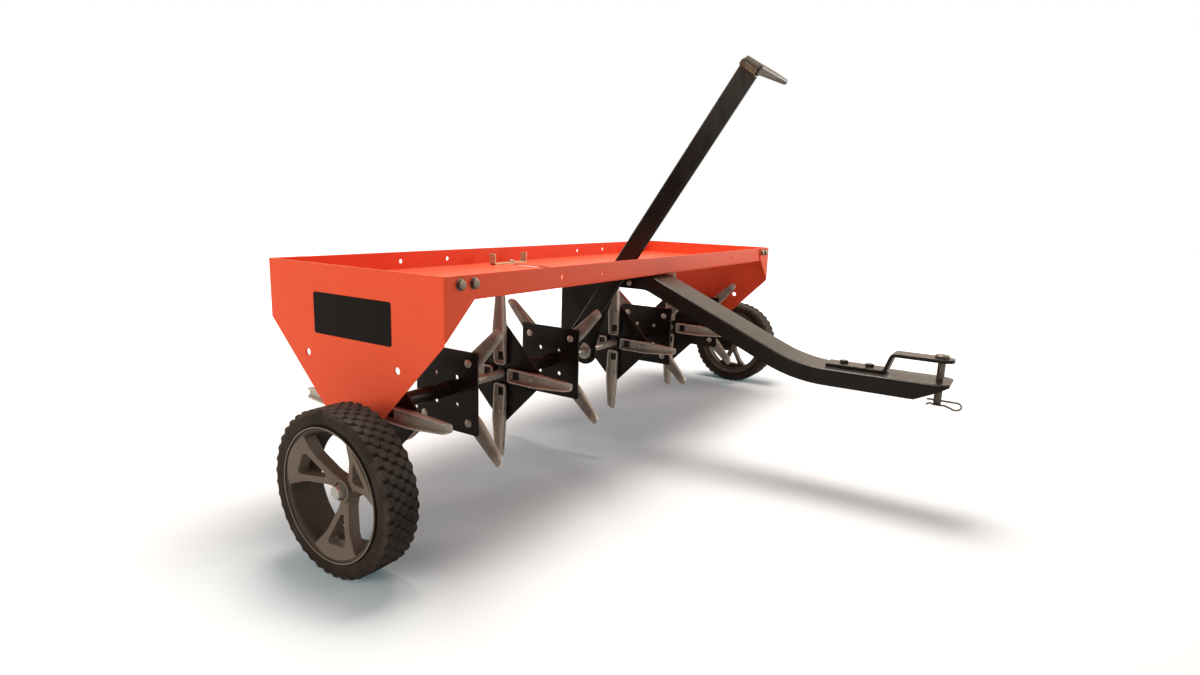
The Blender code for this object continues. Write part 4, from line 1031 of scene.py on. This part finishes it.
def makeLever():
    # one channel section carried straight out from the shaft, in the lever's own frame, then leant over
    web, sheet, fold, edge = (lever[key] for key in ("webX", "sheet", "fold", "edge"))
    half, lip = lever["width"] / 2, web + lever["flange"]
    corners = [(lip, half), (web, half), (web, -half), (lip, -half), (lip, sheet - half),
               (web + sheet, sheet - half), (web + sheet, half - sheet), (lip, half - sheet)]
    section = roundedLoop(corners, [edge, fold, fold, edge, edge, fold - sheet, fold - sheet, edge], 6)
    channel = prismShell(section, np.linspace(lever["start"], lever["end"], 9))

    # the tongue bends over the channel's end and carries the grip
    skin, top = web + lever["tongueStep"], lever["top"]
    corners = [(skin, lever["end"] - lever["tongueLap"]), (skin, top), (lever["tongueEndX"], top)]
    path = bentPath(corners, (lever["bend"],), 0.01)
    inner = path - pathNormals(path) * sheet
    side = lever["tongueWidth"] / 2
    edges = [np.insert(line, 1, y, axis=1)
             for line, y in ((path, side), (path, -side), (inner, -side), (inner, side))]
    tongue = loftShell(np.stack(edges, axis=1))

    middle, reach = web + lever["flange"] / 2, lever["bossLength"] / 2
    boss = rectangle(shaftRadius + lever["bossGap"], middle - reach, lever["bossRadius"], middle + reach)
    mesh = stackMesh([channel, tongue, spunShell(roundedLoop(boss, lever["bossEdge"], 3), (0, 0, 0))])
    # painted sheen: the tan film grows towards the upper end
    rubbed = smoothStep(*lever["rubbedFrom"], pointsOf(mesh)[:, 2])
    paintValue(mesh, "dust", lever["dust"] + lever["rubbed"] * rubbed)
    mesh.transform(leverPlace)
    addPiece("liftLever", mesh, "lever", "lift", "lift_lever", 32.0)


def makeGrip():
    # rounded rectangles along x. Each end draws in by edge * (1 - sin a) over edge * (1 - cos a)
    x, bottom, top = np.array(grip["side"]).T
    edge, corner = grip["endEdge"], grip["endCorner"]
    ends = edge * (1.0 - np.cos(np.linspace(0.0, math.pi / 2, 6)))
    places = np.linspace(x[0] + edge, x[-1] - edge, 90)[1:-1]
    places = np.unique(np.concatenate([x[0] + ends, places, x[-1] - ends, x[1:-1]]))
    away = np.clip(np.minimum(places - x[0], x[-1] - places), 0.0, edge)
    inset = edge - np.sqrt(np.clip(edge ** 2 - (edge - away) ** 2, 0.0, None))
    past = np.clip(places - (x[-1] - corner), 0.0, corner)
    half = grip["half"] - (corner - np.sqrt(corner ** 2 - past ** 2)) - inset
    low = np.interp(places, x, bottom) + inset
    high = np.interp(places, x, top) - inset
    corners = cornerGrid((half, low), (half, high), (-half, high), (-half, low))
    section = roundedLoop(corners, np.minimum(grip["edge"], (high - low) * 0.42)[:, None], 6)
    shells = [loftShell(np.insert(section, 0, places[:, None], axis=2))]
    for row in range(grip["dotRows"]):
        out = bottom[0] + edge + row * grip["dotRise"]
        count = grip["dotColumns"] - row % 2
        for column in range(count):
            origin = (x[0] + grip["dotSink"], (column - (count - 1) / 2) * grip["dotStep"], out)
            shells.append(domeShell(origin, (-1, 0, 0), grip["dotRadius"], grip["dotHeight"]))
    mesh = stackMesh(shells)
    along = pointsOf(mesh)[:, 0]
    # painted sheen along the grip, with the dots made lightest
    dust = np.interp(along, grip["dustX"], grip["dust"])
    paintValue(mesh, "dust", np.where(along < x[0] - 0.00002, grip["dotDust"], dust))
    mesh.transform(leverPlace)
    addPiece("leverGrip", mesh, "grip", "lift", "lever_grip", 40.0)


def makeWheelBolt(name, side):
    node, thickness = f"wheel_bolt_{name}", wheelBolt["washer"][-1]
    low, middle, high = boxOf(node)
    faceX = faceOf(node, -side)
    shell = washerShell((faceX, *middle[1:]), (side, 0, 0), *wheelBolt["washer"])
    addPiece(f"wheelWasher{name.title()}", [shell], "steel", "lift")
    shell = hexShell((faceX + side * thickness, *middle[1:]), (side, 0, 0), wheelBolt["flats"],
                     high[0] - low[0] - thickness)
    addPiece(f"wheelBolt{name.title()}", [shell], "zinc", "lift", node)


print("lever, grip and arms")
makeLever()
makeGrip()
for name, side in sides.items():
    softenNode(f"wheel_arm_{name}", f"wheelArm{name.title()}", "black", "lift", 0.0006)
    makeWheelBolt(name, side)


# Wheels

wheel = {
    "lugs": 41,
    "rows": (-0.0196, -0.0098, 0.0, 0.0098, 0.0196),
    "lugRadius": 0.0071,
    "lugHeight": 0.0028,
    "lugPower": 2.2,  # 2 is a round lug, and more is squarer
    "treadEdge": 0.0250,
    "treadHalf": 0.0220,
    "shoulder": 0.0018,
    "crown": 0.0010,
    # radius and distance outward from the tread's edge to the middle of the seat
    "wall": ((0.1068, 0.0276), (0.1050, 0.0279), (0.1040, 0.02795), (0.1028, 0.0276), (0.1000, 0.0274),
             (0.0970, 0.0271), (0.0948, 0.0262), (0.0925, 0.0243), (0.0905, 0.0236), (0.0880, 0.0235),
             (0.0868, 0.0232), (0.0868, 0.012), (0.0868, 0.0)),
    "corner": ((0.0014, 0.0260), (0.0024, 0.0270)),  # the two points above it: down from the tread, outward
    "rib": (0.0222, 0.0236, 0.0240, 0.0262),  # distances outward over which it rises and falls
    "lugEdge": (0.74, 1.06),  # share of the lug's radius where it starts to fall and ends
    "treadDepth": 0.0030,  # no lug reaches further in
    "dust": (0.46, 0.85, 0.40),  # dust and painted light: on the lug tops, falling to painted shade in the gaps between them, on the shoulder, where it is mostly a painted highlight, and on the wall
    "around": 740,
    "across": 60,
}
rim = {
    # radius and distance outward of the barrel's corners, and the rounding of each
    "barrel": ((0.0914, 0.0278, 0.0006), (0.0914, 0.0245, 0.0008), (0.0865, 0.0238, 0.0015),
               (0.0865, -0.0238, 0.0015), (0.0915, -0.0245, 0.0008), (0.0915, -0.0285, 0.0008),
               (0.0885, -0.0285, 0.0008), (0.0835, -0.0215, 0.003), (0.0768, -0.0200, 0.0008),
               (0.0768, -0.0170, 0.0008), (0.0785, -0.0125, 0.003), (0.0835, 0.0040, 0.006),
               (0.0835, 0.0195, 0.003), (0.0850, 0.0232, 0.0015), (0.0893, 0.0256, 0.0010),
               (0.0900, 0.0278, 0.0006)),
    "lip": ((0.0903, 0.0270, 0.0002), (0.0915, 0.0270, 0.0002), (0.0915, 0.0285, 0.0004),
            (0.0903, 0.0285, 0.0004)),
    "hub": ((0.0086, -0.0215, 0.0004), (0.0160, -0.0215, 0.0010), (0.0160, 0.0075, 0.0014),
            (0.0118, 0.0075, 0.0008), (0.0118, 0.0035, 0.0005), (0.0086, 0.0035, 0.0003)),
    # a spoke's corners: half width, distance out from the hub, rounding
    "spoke": ((0.0085, 0.0040, 0.0), (0.0098, 0.0240, 0.030), (0.0235, 0.0550, 0.030)),
    "window": ((0.0025, 0.0330, 0.002), (0.0172, 0.0655, 0.003), (0.0145, 0.0695, 0.003)),
    "reach": 0.0868,
    "spread": 30.0,
    "depth": 0.017,
    "edge": 0.0014,
    "front": -0.004,
    "slope": 0.374,
    "firstSpoke": 4.8,  # degrees from straight down, towards the drawbar on the left wheel
}
upright = Matrix(((0, 0, 1, 0), (1, 0, 0, 0), (0, 1, 0, 0), (0, 0, 0, 1)))  # a blank's x and y become y and z


def makeTyre(name, side):
    # the section is turned, and the tread stands up by lugHeight where the distance to a lug's middle,
    # (|around / lugRadius|^p + |across / lugRadius|^p)^(1/p), is under one
    low, middle, high = boxOf(f"wheel_{name}_tyre")
    lugHeight, lugs, power, edge = (wheel[key] for key in ("lugHeight", "lugs", "lugPower", "treadEdge"))
    radius = (high[2] - low[2]) / 2
    base = radius - lugHeight
    bottom = base - wheel["treadDepth"]
    across = np.linspace(-edge, edge, wheel["across"])
    outward = np.abs(across)
    rib = smoothStep(*wheel["rib"][:2], outward) * (1.0 - smoothStep(*wheel["rib"][2:], outward))
    crown = base - wheel["crown"] * (across / edge) ** 4 + wheel["shoulder"] * rib
    wall = np.array([*((base - drop, x) for drop, x in wheel["corner"]), *wheel["wall"]])
    profile = np.concatenate([np.stack([crown, across], axis=1), wall, wall[-2::-1] * [1, -1]])
    out, along = profile.T
    count = wheel["around"]
    angle = np.linspace(0.0, math.tau, count, endpoint=False)[:, None]
    height = np.zeros((count, len(profile)))
    for row, rowX in enumerate(wheel["rows"]):
        step = (angle * lugs / math.tau + 0.5 * (row % 2)) % 1.0 - 0.5
        around = step * math.tau * base / lugs
        distance = (np.abs(around) ** power + np.abs(along - rowX) ** power) ** (1 / power)
        height = np.maximum(height, 1.0 - smoothStep(*wheel["lugEdge"], distance / wheel["lugRadius"]))
    height = np.where(out > bottom, height, 0.0) * lugHeight
    rings = np.minimum(out + height, radius)
    points = np.stack(np.broadcast_arrays(middle[0] + along * side, middle[1] + rings * np.cos(angle),
                                          middle[2] + rings * np.sin(angle)), axis=-1)
    mesh = stackMesh([(points.reshape(-1, 3), gridFaces(count, len(profile), True))])
    x, y, z = np.abs(pointsOf(mesh) - middle).T
    out = np.hypot(y, z)
    # lug tops lighter than the gaps between them, which is painted shade; the shoulder lighter still, a
    # painted highlight
    lugDust, shoulderDust, wallDust = wheel["dust"]
    dust = np.where(out > bottom, shoulderDust, wallDust)
    paintValue(mesh, "dust", np.where(x < wheel["treadHalf"], lugDust * smoothStep(base, radius, out), dust))
    addPiece(f"tyre{name.title()}", mesh, "rubber", f"wheel_{name}", f"wheel_{name}_tyre", 50.0)


def spokeOutline(corners, end=np.empty((0, 3))):
    # the corners of one half, the points of its end and the corners of the other half
    half = np.array(corners)
    rows = np.concatenate([half, end, half[::-1] * [-1, 1, 1]])
    return roundedLoop(rows[:, :2], rows[:, 2])


def spokeShell(middle, side, turn):
    # a flat blank with a window, dished by a shear: outward += slope * distance out
    spread = np.radians(np.linspace(rim["spread"], -rim["spread"], 13))
    end = np.stack([rim["reach"] * np.sin(spread), rim["reach"] * np.cos(spread), np.zeros(13)], axis=1)
    outlines = [spokeOutline(rim["spoke"], end), spokeOutline(rim["window"])[::-1]]
    shear = Matrix.Identity(4)
    shear[0][2] = side * rim["slope"]
    shear[0][3] = side * (rim["front"] - rim["depth"] / 2)
    place = Matrix.Translation(middle) @ turned(turn, "X") @ shear @ upright
    return sheetShell(outlines, rim["depth"], rim["edge"], place)


def makeRim(name, side):
    node, body = f"wheel_{name}_rim", f"wheel_{name}"
    middle = boxOf(node)[1]
    rings = {}
    for key, segments in (("barrel", 144), ("lip", 144), ("hub", 72)):
        corners = np.array(rim[key])
        profile = roundedLoop(corners[:, :2], corners[:, 2], 4) * [1, side]
        rings[key] = spunShell(profile, middle, (1, 0, 0), segments)
    # the barrel in its darker copy of the rim plastic, which is painted shade
    addPiece(f"rimBarrel{name.title()}", [rings["barrel"]], "barrel", body)
    # the lip ring in its lighter copy of the rim plastic, a painted highlight
    addPiece(f"rimLip{name.title()}", [rings["lip"]], "lip", body)
    turns = [180.0 + side * rim["firstSpoke"] + 120.0 * spoke for spoke in range(3)]
    shells = [rings["hub"]] + [spokeShell(middle, side, turn) for turn in turns]
    addPiece(f"rim{name.title()}", shells, "rim", body, node)


print("wheels")
for name, side in sides.items():
    makeTyre(name, side)
    makeRim(name, side)


# Fasteners and the bare label

fastener = {
    "flangeX": (0.029, 0.055),  # in from the end plate's face
    "flangeDrop": 0.012,  # below its top
    "head": (0.0118, 0.0040),  # across its flats, height
    "washer": (0.0082, 0.002, 0.0012),  # radius, bore, thickness
    "rearHead": (0.0060, 0.0012),  # radius, height
    "barBolt": (-0.130, 0.3456),  # y from the shaft, z
    "barHead": (0.0052, 0.0040),
    "barRod": 0.0038,
    "stopBoltX": -0.070,
    "stopHead": (0.0110, 0.0045),
    "stopSheet": 0.003,
}
label = {
    "y": (-0.0885, 0.0790),  # from the shaft
    "z": (0.2960, 0.3580),
    "sheet": 0.0006,
    "edge": 0.0002,
    "corner": 0.004,
}


def makeFlangeBolts():
    # bolts through the end plates' flanges and the tray's walls: hexagon heads in front, low domes behind
    bolts, washers = [], []
    for name, side in sides.items():
        low, _, high = boxOf(f"end_plate_{name}")
        faceX = faceOf(f"end_plate_{name}", side)
        for reach in fastener["flangeX"]:
            boltX, boltZ = faceX - side * reach, high[2] - fastener["flangeDrop"]
            washers.append(washerShell((boltX, low[1], boltZ), (0, -1, 0), *fastener["washer"]))
            front = (boltX, low[1] - fastener["washer"][-1], boltZ)
            bolts.append(hexShell(front, (0, -1, 0), *fastener["head"]))
            bolts.append(domeShell((boltX, high[1], boltZ), (0, 1, 0), *fastener["rearHead"]))
    addPiece("flangeBolts", bolts, "steel", "frame")
    addPiece("flangeWashers", washers, "steel", "frame")


def makeBarBolts():
    # a bolt across the drawbar's walls, with a round head on both sides, and the stop's bolt in the tray
    bolt = (shaftY + fastener["barBolt"][0], fastener["barBolt"][1])
    half = drawbar["width"] / 2
    shells = [domeShell((side * half, *bolt), (side, 0, 0), *fastener["barHead"]) for side in (-1, 1)]
    shells.append(rodShell((0.0, *bolt), (1, 0, 0), fastener["barRod"], half + 0.001, 24))
    low, middle, _ = boxOf("lever_stop")
    origin = (fastener["stopBoltX"], middle[1], low[2] + fastener["stopSheet"])
    shells.append(hexShell(origin, (0, 0, 1), *fastener["stopHead"]))
    addPiece("barBolts", shells, "zinc", "frame")


def makeLabel():
    (front, back), (bottom, top), sheet = label["y"], label["z"], label["sheet"]
    outline = roundedLoop(rectangle(front, bottom, back, top), label["corner"])
    place = Matrix.Translation((faceOf("end_plate_left", -1) - sheet / 2, shaftY, 0.0)) @ upright
    addPiece("plateLabel", [sheetShell([outline], sheet, label["edge"], place)], "label", "frame")


print("fasteners and label")
makeFlangeBolts()
makeBarBolts()
makeLabel()
